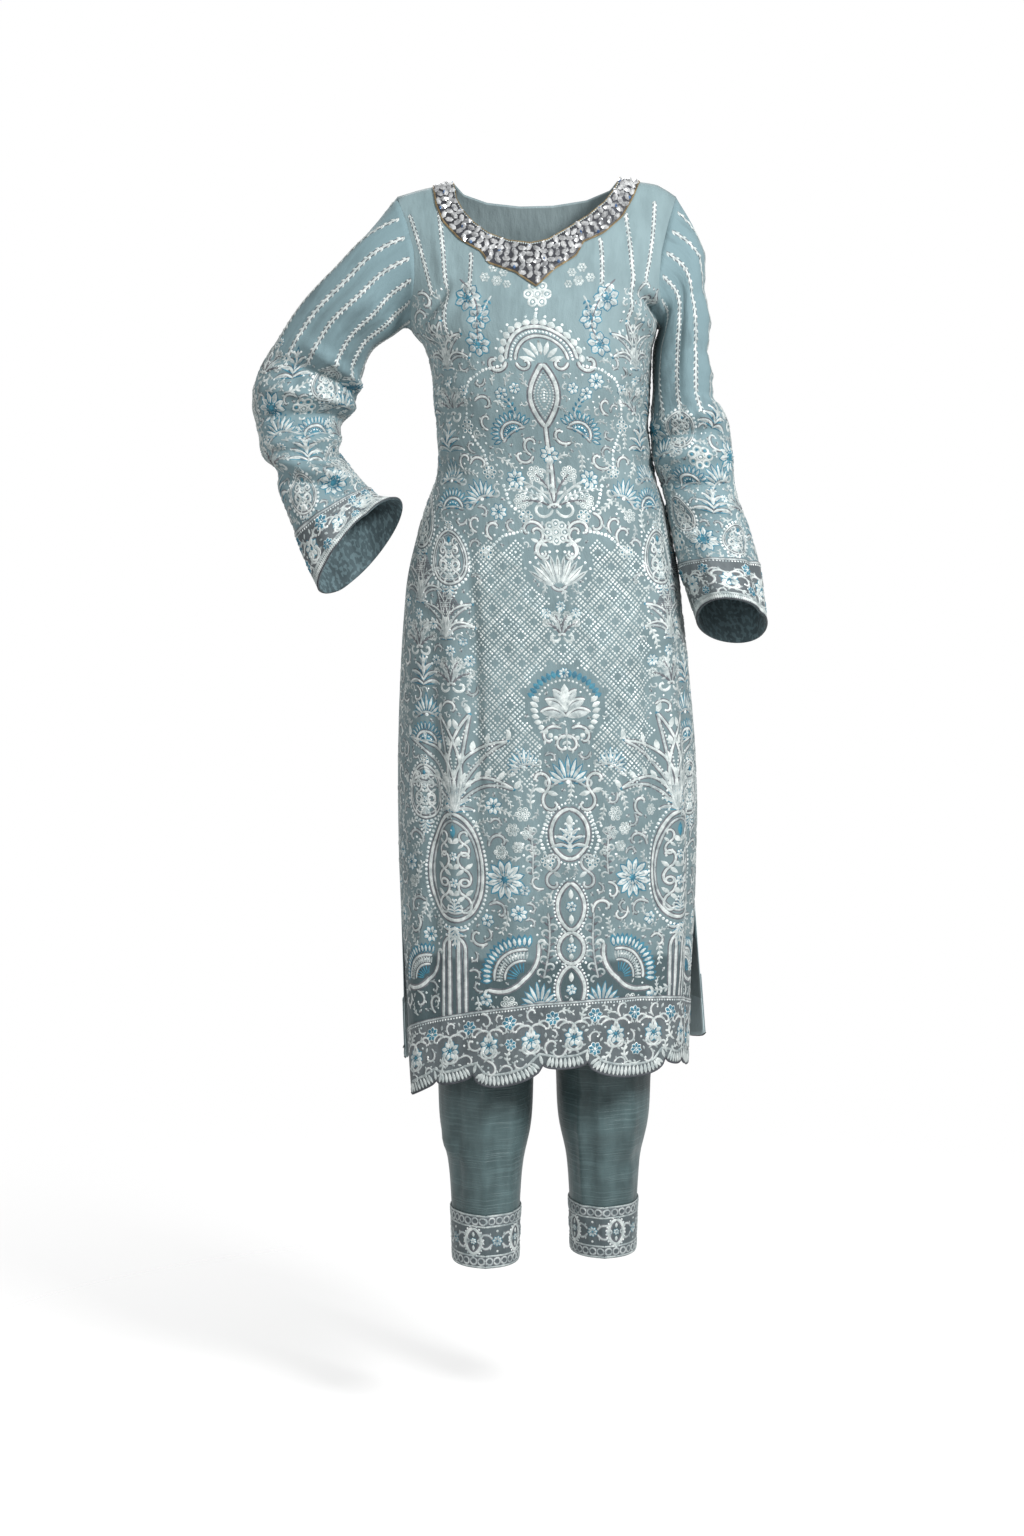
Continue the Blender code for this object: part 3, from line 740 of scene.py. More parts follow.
LEFT_SLEEVE_CREASES = rows(Crease, (
    (-86 - 30j, -70 - 150j, 20, 3.4), (-80 - 50j, -66 - 280j, 24, 3.6), (-66 - 210j, -80 - 400j, 24, 4.0),
    (-72 - 250j, -72 - 330j, 18, 2.5), (20 - 30j, 100 - 44j, 6, 3.1, -5),
    (10 - 58j, 108 - 66j, 6, -3.4, -5), (24 - 84j, 110 - 92j, 6, 3.7, -4),
    (6 - 108j, 104 - 118j, 6, -3.7, -5), (18 - 134j, 112 - 142j, 6, 3.7, -4),
    (4 - 160j, 108 - 168j, 6, -3.7, -4), (-30 - 24j, -40 - 200j, 9, 4.8, 3),
    (-4 - 16j, -12 - 190j, 8, -5.1, -3), (34 - 40j, 26 - 200j, 10, 4.4, 3),
    (140 - 30j, 136 - 190j, 11, -4.8), (-70 - 206j, 40 - 190j, 7, 5.8, 6),
    (-74 - 226j, 56 - 214j, 7, -7.1, 7), (-62 - 246j, 64 - 240j, 8, 6.2, 5),
    (-66 - 268j, 50 - 274j, 7, -6.1, -4), (-50 - 292j, 58 - 306j, 8, 5.4, -6),
    (-44 - 322j, 40 - 340j, 8, -4.8, -5), (110 - 214j, 180 - 226j, 8, 6.1, 4),
    (104 - 244j, 184 - 250j, 8, -6.1, 3), (-16 - 350j, -22 - 452j, 9, 4.8, 3),
    (40 - 340j, 44 - 456j, 9, -4.8, -2),
))
RIGHT_LEG_CREASES = rows(Crease, (
    (-60 - 640j, 10 - 612j, 9, 3.6, 6), (-66 - 676j, 30 - 660j, 9, -4.2, 7),
    (-58 - 712j, 40 - 706j, 10, 4.2, 6), (-50 - 752j, 26 - 760j, 9, -3.4, -4),
    (20 - 780j, 84 - 760j, 9, 3.6, 5), (30 - 560j, 96 - 520j, 10, 3.9, 6),
    (-64 - 520j, 20 - 470j, 10, -3.6, 8), (96 - 620j, 180 - 648j, 10, 3.9, 6),
    (90 - 664j, 176 - 700j, 10, -3.9, 6), (34 - 600j, 40 - 850j, 8, -3.6, -2),
    (-36 - 620j, -32 - 850j, 9, 3.1, 2), (-70 - 250j, 60 - 300j, 12, 4.2, -8),
    (0 - 300j, 2 - 850j, 15, 4.4), (0 - 300j, 2 - 850j, 4.5, 2.4),
))
LEFT_LEG_CREASES = rows(Crease, (
    (-58 - 630j, 16 - 604j, 9, -3.4, 6), (-62 - 668j, 34 - 650j, 9, 3.9, 7),
    (-60 - 704j, 28 - 700j, 10, -3.9, 6), (-46 - 744j, 44 - 738j, 9, 3.9, -4),
    (10 - 796j, 78 - 784j, 9, -3.4, 5), (24 - 566j, 90 - 536j, 10, -3.6, 6),
    (-60 - 530j, 24 - 486j, 10, 3.6, 8), (92 - 628j, 176 - 650j, 10, -3.9, 6),
    (96 - 672j, 180 - 706j, 10, 3.9, 6), (-30 - 560j, -26 - 860j, 6, 4.8, -2),
    (30 - 600j, 36 - 850j, 9, 2.8, 2), (-66 - 260j, 64 - 310j, 12, -4.2, -8),
    (-4 - 300j, -6 - 850j, 15, 4.4), (-4 - 300j, -6 - 850j, 4.5, 2.4),
))


def between(table: Array, row: Array, col: Array) -> Array:
    """Values of a table between its rows and columns.

    Args:
        table: rows by columns, of numbers or of points.
        row: the row wanted, with its fraction.
        col: the column wanted, with its fraction.

    Returns:
        The values there.
    """
    row = np.clip(row, 0, table.shape[0] - 1.001)
    col = np.clip(col, 0, table.shape[1] - 1.001)
    i, j = row.astype(int), col.astype(int)
    u, v = row - i, col - j
    if table.ndim > 2:
        u, v = u[..., None], v[..., None]
    upper = table[i, j] * (1 - v) + table[i, j + 1] * v
    lower = table[i + 1, j] * (1 - v) + table[i + 1, j + 1] * v
    return upper * (1 - u) + lower * u


class Surface:
    """A worn sheet of cloth.

    A place on it is a complex number, in millimetres.  Its real part runs round the body toward
    the wearer's left (outward, on a sleeve or a leg) and its imaginary part runs up the cloth.
    """

    facing: float

    def place(self, flat: Array, lift: Array | float = 0.0) -> Array:
        """The worn points of places on the cloth, lifted off it by some millimetres."""
        raise NotImplementedError


class Torso(Surface):
    """The front or the back of the kameez."""

    TOP, BOTTOM = 24.0, -1112.0
    REACH = 330.0       # of the tables, each way from the centre line
    SWEEP = 112.0       # degrees each way that they cover
    READINGS = 449      # angles at which a row's length is measured
    NUDGE = 0.4         # the step that finds the cloth's slope, in degrees and in millimetres

    def __init__(self, side: int, creases: Sequence[Crease]) -> None:
        """Measure the cloth; side is -1 for the front and 1 for the back.

        Args:
            side: -1 for the front and 1 for the back.
            creases: the folds to press in.
        """
        self.side, self.facing, self.creases = side, -side, creases
        heights = np.arange(self.TOP, self.BOTTOM, -PITCH)[:, None]
        self.angles = np.linspace(-self.SWEEP, self.SWEEP, self.READINGS)
        fine = self.worn(self.angles[None], heights)
        lengths = np.linalg.norm(np.diff(fine, axis=1), axis=-1)
        run = np.concatenate([np.zeros((len(heights), 1)), np.cumsum(lengths, axis=1)], axis=1)
        self.run = run - run[:, self.READINGS // 2, None]
        arcs = np.arange(-self.REACH, self.REACH + PITCH, PITCH)
        self.turned = np.stack([np.interp(arcs, row, self.angles) for row in self.run])

    def worn(self, angle: Array, height: Array) -> Array:
        """The uncreased points at an angle from the centre line, + to the left, and a height.

        Args:
            angle: in degrees.
            height: in millimetres.

        Returns:
            The points, three numbers each.
        """
        if self.side < 0:
            return torso_points(angle, height)
        points = torso_points(180 - angle, height)
        across = np.clip(angle / 90, -1, 1)
        notch = follow(column(BACK_HEM, "across"), column(BACK_HEM, "height"), across)
        opened = ramp(height, SLIT_TOP, notch)
        points[..., 0] += BACK_FLARE * opened * np.clip(across, 0, 1) ** 4
        return points

    def place(self, flat: Array, lift: Array | float = 0.0) -> Array:
        """The worn points of places on the cloth, lifted off it by some millimetres."""
        height = flat.imag
        row = (self.TOP - height) / PITCH
        angle = between(self.turned, row, (flat.real + self.REACH) / PITCH)
        points = self.worn(angle, height)
        beside = self.worn(angle + self.NUDGE, height) - points
        below = self.worn(angle, height - self.NUDGE) - points
        normals = unit(np.cross(below, beside) * self.facing)
        push = sum((crease.push(flat) for crease in self.creases), np.zeros(flat.shape))
        return points + normals * (push + lift)[..., None]

    def flat(self, angle: Array, height: Array) -> Array:
        """The place on the cloth of an angle and a height.

        Args:
            angle: in degrees from the centre line.
            height: in millimetres.

        Returns:
            The places.
        """
        angle, height = np.broadcast_arrays(angle, height)
        col = (angle + self.SWEEP) / (self.angles[1] - self.angles[0])
        return between(self.run, (self.TOP - height) / PITCH, col) + 1j * height

    def flat_at(self, x: Array, height: Array) -> Array:
        """The place on the cloth that lies at an x.

        Args:
            x: across the body, in millimetres.
            height: in millimetres.

        Returns:
            The places.
        """
        right, left = level(TORSO, "right", height), level(TORSO, "left", height)
        reach = np.clip((x - (right + left) / 2) / ((left - right) / 2), -1, 1)
        sine = np.abs(reach) ** (ROUNDNESS / 2)
        angle = np.degrees(np.sign(reach) * np.arcsin(sine))
        return self.flat(angle + self.side * level(TORSO, "turn", height), height)


class Tube(Surface):
    """A sleeve or a trouser leg, on rings that start at its inner line and pass its front first."""

    LEFT, RIGHT = -175.0, 450.0     # the grid's ends, from the front line

    def __init__(self, rings: Array, facing: float, creases: Sequence[Crease],
                 opened: int = 0) -> None:
        """Lay the cloth's grid out and press its creases in.

        Args:
            rings: points of rings PITCH apart down the cloth, rings by points by three.
            facing: 1 where ring x point points outward, else -1.
            creases: the folds to press in.
            opened: how many of the first rings aren't closed.
        """
        self.facing = facing
        lengths = np.linalg.norm(np.diff(rings, axis=1), axis=-1)
        self.run = np.concatenate([np.zeros((len(rings), 1)), np.cumsum(lengths, axis=1)], axis=1)
        shares = np.linspace(0, 1, rings.shape[1])
        self.girth = self.run[:, -1]
        self.front = np.array([np.interp(0.25, shares, row) for row in self.run])
        self.length = PITCH * (len(rings) - 1)
        arcs = np.arange(self.LEFT, self.RIGHT + PITCH, PITCH)
        grid = np.empty((len(rings), len(arcs), 3))
        for i, (ring, row) in enumerate(zip(rings, self.run)):
            at = arcs + self.front[i]
            at = np.clip(at, 0, row[-1]) if i < opened else at % row[-1]
            for axis in range(3):
                grid[i, :, axis] = np.interp(at, row, ring[:, axis])
        flat = arcs[None] - 1j * PITCH * np.arange(len(rings))[:, None]
        turns = self.girth[:, None] * np.array([0, 1, -1])[:, None, None]
        push = sum((crease.push(flat + turn) for crease in creases for turn in turns), np.zeros(flat.shape))
        self.grid = grid + grid_normals(grid, facing) * push[..., None]
        self.normals = grid_normals(self.grid, facing)

    def place(self, flat: Array, lift: Array | float = 0.0) -> Array:
        """The worn points of places on the cloth, lifted off it by some millimetres."""
        row, col = -flat.imag / PITCH, (flat.real - self.LEFT) / PITCH
        normals = unit(between(self.normals, row, col))
        return between(self.grid, row, col) + normals * np.asarray(lift)[..., None]

    def flat(self, share: Array, down: Array) -> Array:
        """The place of a share of the girth from the inner line, some millimetres from the top.

        Args:
            share: of the girth.
            down: the tube, in millimetres.

        Returns:
            The places.
        """
        share, down = np.broadcast_arrays(share, down)
        arc = between(self.run, down / PITCH, share * (self.run.shape[1] - 1))
        return arc - self.front_at(down) - 1j * down

    def girth_at(self, down: Array) -> Array:
        """The length round the cloth at a distance from its top."""
        return np.interp(down / PITCH, np.arange(len(self.girth)), self.girth)

    def front_at(self, down: Array) -> Array:
        """The length from the inner line to the front line at a distance from its top."""
        return np.interp(down / PITCH, np.arange(len(self.front)), self.front)


def sleeve_tube(rings: Sequence[SleeveRing], armhole: Sequence[Place], front: Torso, back: Torso,
                side: int, creases: Sequence[Crease]) -> Tube:
    """A sleeve's surface, from its armhole's edge to its hem; side is -1 for the right one.

    Args:
        rings: the sleeve's rings, downward.
        armhole: the seam's places, upward.
        front: the front's surface.
        back: the back's surface.
        side: -1 for the right sleeve and 1 for the left.
        creases: the folds to press in.

    Returns:
        The surface.
    """
    edge = along(armhole, ARMHOLE_POINTS + 1)
    behind = back.place(back.flat_at(edge[:, 0], edge[:, 1]))
    before = front.place(front.flat_at(edge[:, 0], edge[:, 1]))
    before[[0, -1]] = behind[[0, -1]] = (before[[0, -1]] + behind[[0, -1]]) / 2
    first = np.concatenate([behind, before[-2::-1]])
    turn = np.linspace(0, 2 * np.pi, 2 * ARMHOLE_POINTS + 1)
    table = np.array(rings, float)[:, None]
    outer = table[..., [3, 4]] @ np.array([[1, 0, 0], [0, 0, 1]])
    ovals = table[..., :3] - outer * oval(np.cos(turn), SLEEVE_ROUNDNESS)[:, None]
    ovals = ovals + table[..., 5:8] * oval(np.sin(turn), SLEEVE_ROUNDNESS)[:, None]
    stack = np.concatenate([first[None], ovals])[:, ::-1]
    steps = np.linalg.norm(np.diff(stack.mean(axis=1), axis=0), axis=-1)
    run = np.append(0, np.cumsum(steps))
    fine = follow(run, stack, np.arange(0, run[-1], PITCH))
    return Tube(fine, side, creases)


def leg_tube(side: int, stance: float, creases: Sequence[Crease]) -> Tube:
    """A trouser leg's surface; side is -1 for the right leg, and stance moves its hem in Y.

    Args:
        side: -1 for the right leg and 1 for the left.
        stance: how far its hem moves in Y.
        creases: the folds to press in.

    Returns:
        The surface.
    """
    height = np.arange(WAISTBAND_SEAM, LEGS[-1].height, -PITCH)[:, None]
    share = np.linspace(0, 1, LEG_POINTS + 1)[None]
    hip_turn, leg_turn = share * np.pi, share * 2 * np.pi
    hip_x = level(HIPS, "half_width", height) * np.sin(hip_turn)
    hip_depth = np.where(share < 0.5, level(HIPS, "front", height), level(HIPS, "back", height))
    leg_x = level(LEGS, "offset", height)
    leg_x = leg_x - level(LEGS, "half_width", height) * oval(np.cos(leg_turn), LEG_ROUNDNESS)
    ridge = CREASE * sum(np.exp(-np.abs(share - line) / PRESSED) for line in PRESS_LINES)
    leg_y = CROTCH_Y - (level(LEGS, "half_depth", height) + ridge) * oval(np.sin(leg_turn), LEG_ROUNDNESS)
    closing = ramp(height, CLOSING_TOP, CROTCH)
    closing = closing ** 2 * (3 - 2 * closing)
    descent = ramp(height, CROTCH, LEGS[-1].height)
    x = hip_x + closing * (leg_x - hip_x)
    y = -hip_depth * np.cos(hip_turn) * (1 - closing) + closing * leg_y + stance * descent
    points = np.stack([TROUSER_X + side * x, y, height + 0 * x], axis=-1)
    opened = int((height[:, 0] > CROTCH).sum())
    return Tube(points, side, creases, opened)


# ---------------------------------------------------------------- meshes


def fill_mesh(name: str, vertices: Array, faces: Array) -> bpy.types.Mesh:
    """A mesh from vertices in millimetres and equal-sided faces.

    Args:
        name: the mesh's name.
        vertices: its vertices, rows of three.
        faces: its faces, rows of three or four vertex numbers.

    Returns:
        The mesh, shaded smooth.
    """
    mesh = bpy.data.meshes.new(name)
    mesh.vertices.add(len(vertices))
    mesh.vertices.foreach_set("co", (vertices * MM).ravel())
    sides = faces.shape[1]
    mesh.loops.add(faces.size)
    mesh.loops.foreach_set("vertex_index", faces.ravel())
    mesh.polygons.add(len(faces))
    mesh.polygons.foreach_set("loop_start", np.arange(0, faces.size, sides))
    mesh.update(calc_edges=True)
    mesh.shade_smooth()
    return mesh


def place_mesh(name: str, mesh: bpy.types.Mesh, finish: Finish, slot: str) -> Piece:
    """Show a mesh in a finish, as a piece on the suit's one body.

    Args:
        name: the piece's name.
        mesh: its mesh.
        finish: its finish.
        slot: its slot in the record; not used.

    Returns:
        The piece.
    """
    mesh.materials.append(finish.material)
    piece = bpy.data.objects.new(name, mesh)
    bpy.context.scene.collection.objects.link(piece)
    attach(piece, BODY)
    return piece


def grid_mesh(name: str, points: Array, flat: Array, facing: float, closed: bool) -> bpy.types.Mesh:
    """A quad mesh of a grid of points, with their places on the cloth as its UVs.

    Args:
        name: the mesh's name.
        points: the worn points, rows by columns by three.
        flat: the places, rows by columns.
        facing: 1 where row x column points outward, else -1.
        closed: true where the last column meets the first.

    Returns:
        The mesh.
    """
    count, cols = flat.shape
    kept = cols - 1 if closed else cols
    i, j = np.mgrid[:count - 1, :cols - 1]
    corners = [(i, j), (i + 1, j), (i + 1, j + 1), (i, j + 1)]
    if facing < 0:
        corners.reverse()
    faces = np.stack([a * kept + b % kept for a, b in corners], axis=-1).reshape(-1, 4)
    mesh = fill_mesh(name, points[:, :kept].reshape(-1, 3), faces)
    places = np.stack([flat[a, b] for a, b in corners], axis=-1).ravel()
    layer = mesh.uv_layers.new(name="flat")
    layer.data.foreach_set("uv", np.column_stack([places.real, places.imag]).ravel())
    return mesh


def thicken(piece: Piece, thickness: float) -> None:
    """Give a sheet a thickness inward, in millimetres.

    Args:
        piece: the sheet.
        thickness: in millimetres.
    """
    shell = piece.modifiers.new("thickness", "SOLIDIFY")
    shell.thickness = thickness * MM
    shell.offset = -1


# ---------------------------------------------------------------- the kameez


FINE = 6                # mesh columns for each of a panel's own columns
ROW_STEP = 8.0          # the mesh rows' pitch on the skirt
BORDER_FINE = 14        # mesh rows down the hem border
YOKE_FINE = 4           # mesh rows for each of the yoke's own rows
COLLAR_FINE = 8         # mesh rows across the neck band
SHELL = 0.9             # thickness of the shells
BAND_SHELL = 1.0        # and of the bands', the borders' and the trousers'
LINING_SHELL = 0.8      # and of the linings
WAIST_SHELL = 1.2       # and of the waistband
SLEEVE_BAND_ROWS = 14   # mesh rows down a sleeve's border
CUFF_ROWS = 12          # and down a trouser cuff
SHEER_ROWS = 7          # mesh rows between the lining's end and the hem border


def scallop_columns() -> tuple[Array, Array]:
    """A panel's mesh columns: their places across it, and the hem's drop below its notches.

    Returns:
        The columns' places, and the drop in each.
    """
    across, drops = [-1.0], [0.0]
    for scallop in SCALLOPS:
        start = across[-1]
        count = scallop.columns * FINE
        for step in range(1, count + 1):
            share = step / count
            across.append(start + share * scallop.across)
            drops.append(scallop.drop * math.sqrt(1 - (2 * share - 1) ** 2))
    return np.array(across), np.array(drops)


def steps_between(heights: Sequence[float], step: float) -> Array:
    """Heights with more between them, at most a step apart.

    Args:
        heights: the heights to pass through.
        step: the longest step.

    Returns:
        The heights.
    """
    found = [heights[0]]
    for low, high in zip(heights, heights[1:]):
        count = math.ceil(abs(high - low) / step)
        found.extend(low + (high - low) * k / count for k in range(1, count + 1))
    return np.array(found)


class PanelCut(NamedTuple):
    """The edges that set a panel's shape."""
    word: str
    side: int
    hem: Sequence[HemPoint]
    slit: SlitEdge
    band: Sequence[Place]
    neck: Sequence[Place]


FRONT_CUT = PanelCut("front", -1, FRONT_HEM, FRONT_SLIT, BAND_FRONT, NECK_FRONT)
BACK_CUT = PanelCut("back", 1, BACK_HEM, BACK_SLIT, BAND_BACK, NECK_BACK)


@dataclass
class Panel:
    """A kameez panel: the places of its mesh, from its neckline down to its hem."""

    cut: PanelCut
    surface: Torso

    def __post_init__(self) -> None:
        """Lay out the collar, the yoke and the skirt."""
        self.across, self.drops = scallop_columns()
        hem = self.cut.hem
        self.notches = follow(column(hem, "across"), column(hem, "height"), self.across)
        skirt = self.skirt()
        collar, yoke = self.shoulders(skirt[0])
        self.collar_rows = len(collar)
        self.flat = np.concatenate([collar, yoke, skirt[1:]])

    def skirt(self) -> Array:
        """Places from the underarms down to the scalloped hem.

        Returns:
            The places.
        """
        upper = steps_between(SKIRT_ROWS + (SLIT_TOP, LINING_HEM), ROW_STEP)[:, None]
        top, edge = self.notches + BORDER_DEPTH, self.notches - self.drops
        sheer = np.linspace(0, 1, SHEER_ROWS + 1)[1:, None]
        border = np.linspace(0, 1, BORDER_FINE + 1)[1:, None]
        height = np.concatenate([
            np.broadcast_to(upper, (len(upper), len(self.across))),
            LINING_HEM + sheer * (top - LINING_HEM),
            top + border * (edge - top),
        ])
        opened = ramp(height, SLIT_TOP, self.notches)
        slit = np.where(self.across < 0, self.cut.slit.right, self.cut.slit.left)
        swing = slit * np.abs(self.across) ** 3 * opened
        return self.surface.flat(self.across * 90 - np.sign(self.across) * swing, height)

    def shoulders(self, underarm: Array) -> tuple[Array, Array]:
        """Places of the collar, from the neckline, and of the yoke down to the underarms.

        Args:
            underarm: the skirt's first row.

        Returns:
            The collar's places and the yoke's.
        """
        count = len(underarm)
        line = np.array(SHOULDER_LINE, float)
        outer = along(self.cut.band, count)
        outer[[0, -1], 1] = follow(line[:, 0], line[:, 1], outer[[0, -1], 0])
        edges = []
        for armhole, end in ((ARMHOLE_RIGHT, outer[0]), (ARMHOLE_LEFT, outer[-1])):
            rising = along(armhole, ARMHOLE_ROWS * YOKE_FINE + 1)
            x = np.linspace(rising[-1, 0], end[0], YOKE_FINE + 1)[1:]
            edges.append(np.vstack([rising, np.column_stack([x, follow(line[:, 0], line[:, 1], x)])]))
        bottom = self.surface.place(underarm)[:, [0, 2]]
        bottom[0], bottom[-1] = edges[0][0], edges[1][0]
        yoke = patch(bottom, outer, *edges)[::-1]
        steps = np.linspace(1, 0, COLLAR_FINE + 1)[:-1, None, None]
        collar = outer + steps * (along(self.cut.neck, count) - outer)
        collar[:, [0, -1], 1] = follow(line[:, 0], line[:, 1], collar[:, [0, -1], 0])
        return tuple(self.surface.flat_at(part[..., 0], part[..., 1]) for part in (collar, yoke))

    def rows_below(self, height: float) -> int:
        """The first mesh row whose middle lies at or below a height."""
        middle = self.flat[:, len(self.across) // 2].imag
        return int(np.argmax(middle <= height + 0.01))

    @property
    def is_front(self) -> bool:
        """True for the front panel."""
        return self.cut.side < 0

    def holds(self, flat: Array, margin: float = 1.2) -> Array:
        """Tell which places are on the panel below its neck band.

        Args:
            flat: the places.
            margin: how far inside its edges they have to be, in millimetres.

        Returns:
            True for each place on it.
        """
        left, right = self.flat[::-1, 0], self.flat[::-1, -1]
        band, hem = self.flat[self.collar_rows], self.flat[-1]
        x, z = flat.real, flat.imag
        inside = x > np.interp(z, left.imag, left.real) + margin
        inside &= x < np.interp(z, right.imag, right.real) - margin
        inside &= z < np.interp(x, band.real, band.imag) - margin
        return inside & (z > np.interp(x, hem.real, hem.imag) + margin)


# ---------------------------------------------------------------- stitching


class Thread(Enum):
    """What a stitch is worked in."""

    SILVER = "silver_thread"
    PALE = "pale_thread"
    GREY = "grey_thread"
    TEAL = "teal_thread"
    DARK = "dark_cord"
    GOLD = "gold_cord"
    SEQUIN = "sequins"
    STONE = "stones"
    BLUE = "blue_stones"


SILVER, PALE, GREY, TEAL, DARK, GOLD, SEQUIN, STONE, BLUE = Thread
FACETED = (STONE, BLUE)
BOLD = 1.8              # how much fuller a couched cord lies than it is laid out
FULL = 1.15             # and a satin leaf
STITCH = 2.6            # along a cord, between two of its sections
SEAT = 0.05             # how high a stitch's edges lie above the cloth
STONE_HEIGHT = 2.6      # of a cut stone's top above the cloth
LEAF_AT = np.array([0.22, 0.5, 0.78])
LEAF_WIDE = np.array([0.72, 1.0, 0.66])
LEAF_FACES = np.array([
    (0, 5, 2), (0, 8, 5), (2, 5, 3), (5, 6, 3), (5, 8, 6), (8, 9, 6),
    (3, 6, 4), (6, 7, 4), (6, 9, 7), (9, 10, 7), (4, 7, 1), (7, 10, 1)])
RIM = toward(np.arange(0, 360, 60))
BEAD_FACES = np.array([(6, k, (k + 1) % 6) for k in range(6)])
STONE_FACES = np.array(
    [(6 + k, k, (k + 1) % 6) for k in range(6)] + [(6 + k, (k + 1) % 6, 6 + (k + 1) % 6) for k in range(6)]
    + [(6, 7, 8), (6, 8, 9), (6, 9, 10), (6, 10, 11)])


class Stitch(NamedTuple):
    """Some stitches in one thread: places on the cloth, heights above it, and triangles."""
    thread: Thread
    places: Array
    lifts: Array
    faces: Array


def even(line: Sequence[complex], step: float) -> Array:
    """Points of a line at even steps.

    Args:
        line: the line's own points.
        step: the pitch, in millimetres.

    Returns:
        The points.
    """
    line = np.asarray(line, complex)
    run = np.append(0, np.cumsum(np.abs(np.diff(line))))
    count = max(2, round(run[-1] / step) + 1)
    at = np.linspace(0, run[-1], count)
    return np.interp(at, run, line.real) + 1j * np.interp(at, run, line.imag)


class Pattern:
    """Stitching laid out flat, in millimetres."""

    def __init__(self) -> None:
        """Start with no stitches."""
        self.stitches: list[Stitch] = []

    def add(self, other: "Pattern", at: complex = 0, turn: float = 0, scale: float = 1,
            flip: bool = False) -> "Pattern":
        """Copy another pattern in.

        Args:
            other: the pattern.
            at: where its middle goes.
            turn: how far it is turned, in degrees.
            scale: its size against the original.
            flip: true to mirror it left to right first.

        Returns:
            This pattern.
        """
        spin = scale * toward(turn)
        for thread, places, lifts, faces in other.stitches:
            if flip:
                places, faces = -places.conj(), faces[:, ::-1]
            self.stitches.append(Stitch(thread, at + spin * places, lifts, faces))
        return self

    def both(self, other: "Pattern", at: complex, turn: float = 0, scale: float = 1) -> "Pattern":
        """Copy another pattern in at a place, and mirrored across the middle line."""
        self.add(other, at, turn, scale)
        return self.add(other, -np.conj(at), -turn, scale, flip=True)

    def lay(self, motifs: Iterable[tuple]) -> "Pattern":
        """Copy motifs in, each with its place and turn, and mirror those off the middle line.

        Args:
            motifs: rows of a motif, its place and, if any, its turn.

        Returns:
            This pattern.
        """
        for motif, at, *turn in motifs:
            copy = self.both if at.real else self.add
            copy(motif, at, *turn)
        return self

    def cord(self, thread: Thread, line: Sequence[complex], width: float,
             height: float = 0.7) -> "Pattern":
        """Couch a round cord along a line.

        Args:
            thread: what it is worked in.
            line: where it runs.
            width: across it.
            height: of its middle above the cloth.

        Returns:
            This pattern.
        """
        line = even(line, STITCH)
        way = np.gradient(line)
        side = 1j * way / np.abs(way) * width * BOLD / 2
        side[[0, -1]] *= 0.55
        count = len(line)
        k = np.arange(count - 1)
        halves = [(k + count, k, k + 1), (k + count, k + 1, k + 1 + count)]
        faces = np.concatenate([np.column_stack(half) + up for up in (0, count) for half in halves])
        places = np.concatenate([line + side, line, line - side])
        lifts = np.repeat([SEAT, height, SEAT], count)
        self.stitches.append(Stitch(thread, places, lifts, faces))
        return self

    def braid(self, thread: Thread, line: Sequence[complex], width: float, height: float = 0.9) -> "Pattern":
        """Couch a cord over a wider grey one that shows along both its sides."""
        self.cord(GREY, line, width * 1.6, height * 0.45)
        return self.cord(thread, line, width, height)

    def leaf(self, thread: Thread, base: complex, tip: complex, width: float,
             height: float = 0.7) -> "Pattern":
        """Fill a leaf or a petal with satin stitch.

        Args:
            thread: what it is worked in.
            base: one end.
            tip: the other end.
            width: across its middle.
            height: of its middle above the cloth.

        Returns:
            This pattern.
        """
        way = tip - base
        side = 1j * way / abs(way) * width * FULL / 2 * LEAF_WIDE
        middle = base + way * LEAF_AT
        places = np.concatenate([[base, tip], middle + side, middle, middle - side])
        lifts = np.array([SEAT, SEAT, SEAT, SEAT, SEAT, height, height, height * 0.8, SEAT, SEAT, SEAT])
        self.stitches.append(Stitch(thread, places, lifts, LEAF_FACES))
        return self

    def bead(self, thread: Thread, at: complex, radius: float, height: float = 0.9) -> "Pattern":
        """Sew a bead or a sequin on.

        Args:
            thread: what kind it is.
            at: its place.
            radius: in millimetres.
            height: of its middle above the cloth.

        Returns:
            This pattern.
        """
        places = np.append(at + radius * RIM, at)
        self.stitches.append(Stitch(thread, places, np.array([SEAT] * 6 + [height]), BEAD_FACES))
        return self

    def beads(self, thread: Thread, line: Sequence[complex], radius: float, step: float) -> "Pattern":
        """Sew a row of beads along a line.

        Args:
            thread: what kind they are.
            line: where they lie.
            radius: in millimetres.
            step: their pitch.

        Returns:
            This pattern.
        """
        for at in even(line, step):
            self.bead(thread, at, radius)
        return self

    def stone(self, thread: Thread, at: complex, turn: float, long: float, wide: float) -> "Pattern":
        """Set a cut stone, with its long axis turned from the cloth's level by some degrees.

        Args:
            thread: what kind it is.
            at: its place.
            turn: in degrees.
            long: its length.
            wide: its width.

        Returns:
            This pattern.
        """
        girdle = long / 2 * RIM.real + 1j * wide / 2 * RIM.imag * 1.15
        places = np.concatenate([girdle, girdle * 0.34]) * toward(turn) + at
        lifts = np.repeat([0.4, STONE_HEIGHT], 6)
        self.stitches.append(Stitch(thread, places, lifts, STONE_FACES))
        return self

    def recentred(self) -> "Pattern":
        """The pattern, moved so that its stitches' middle is at 0."""
        middle = np.concatenate([stitch.places for stitch in self.stitches]).mean()
        return Pattern().add(self, -middle)

    def moved(self, move: Callable[[Array], Array]) -> "Pattern":
        """The pattern with each place moved by a function.

        Args:
            move: gives each place's new place.

        Returns:
            The new pattern.
        """
        made = Pattern()
        made.stitches = [stitch._replace(places=move(stitch.places)) for stitch in self.stitches]
        return made


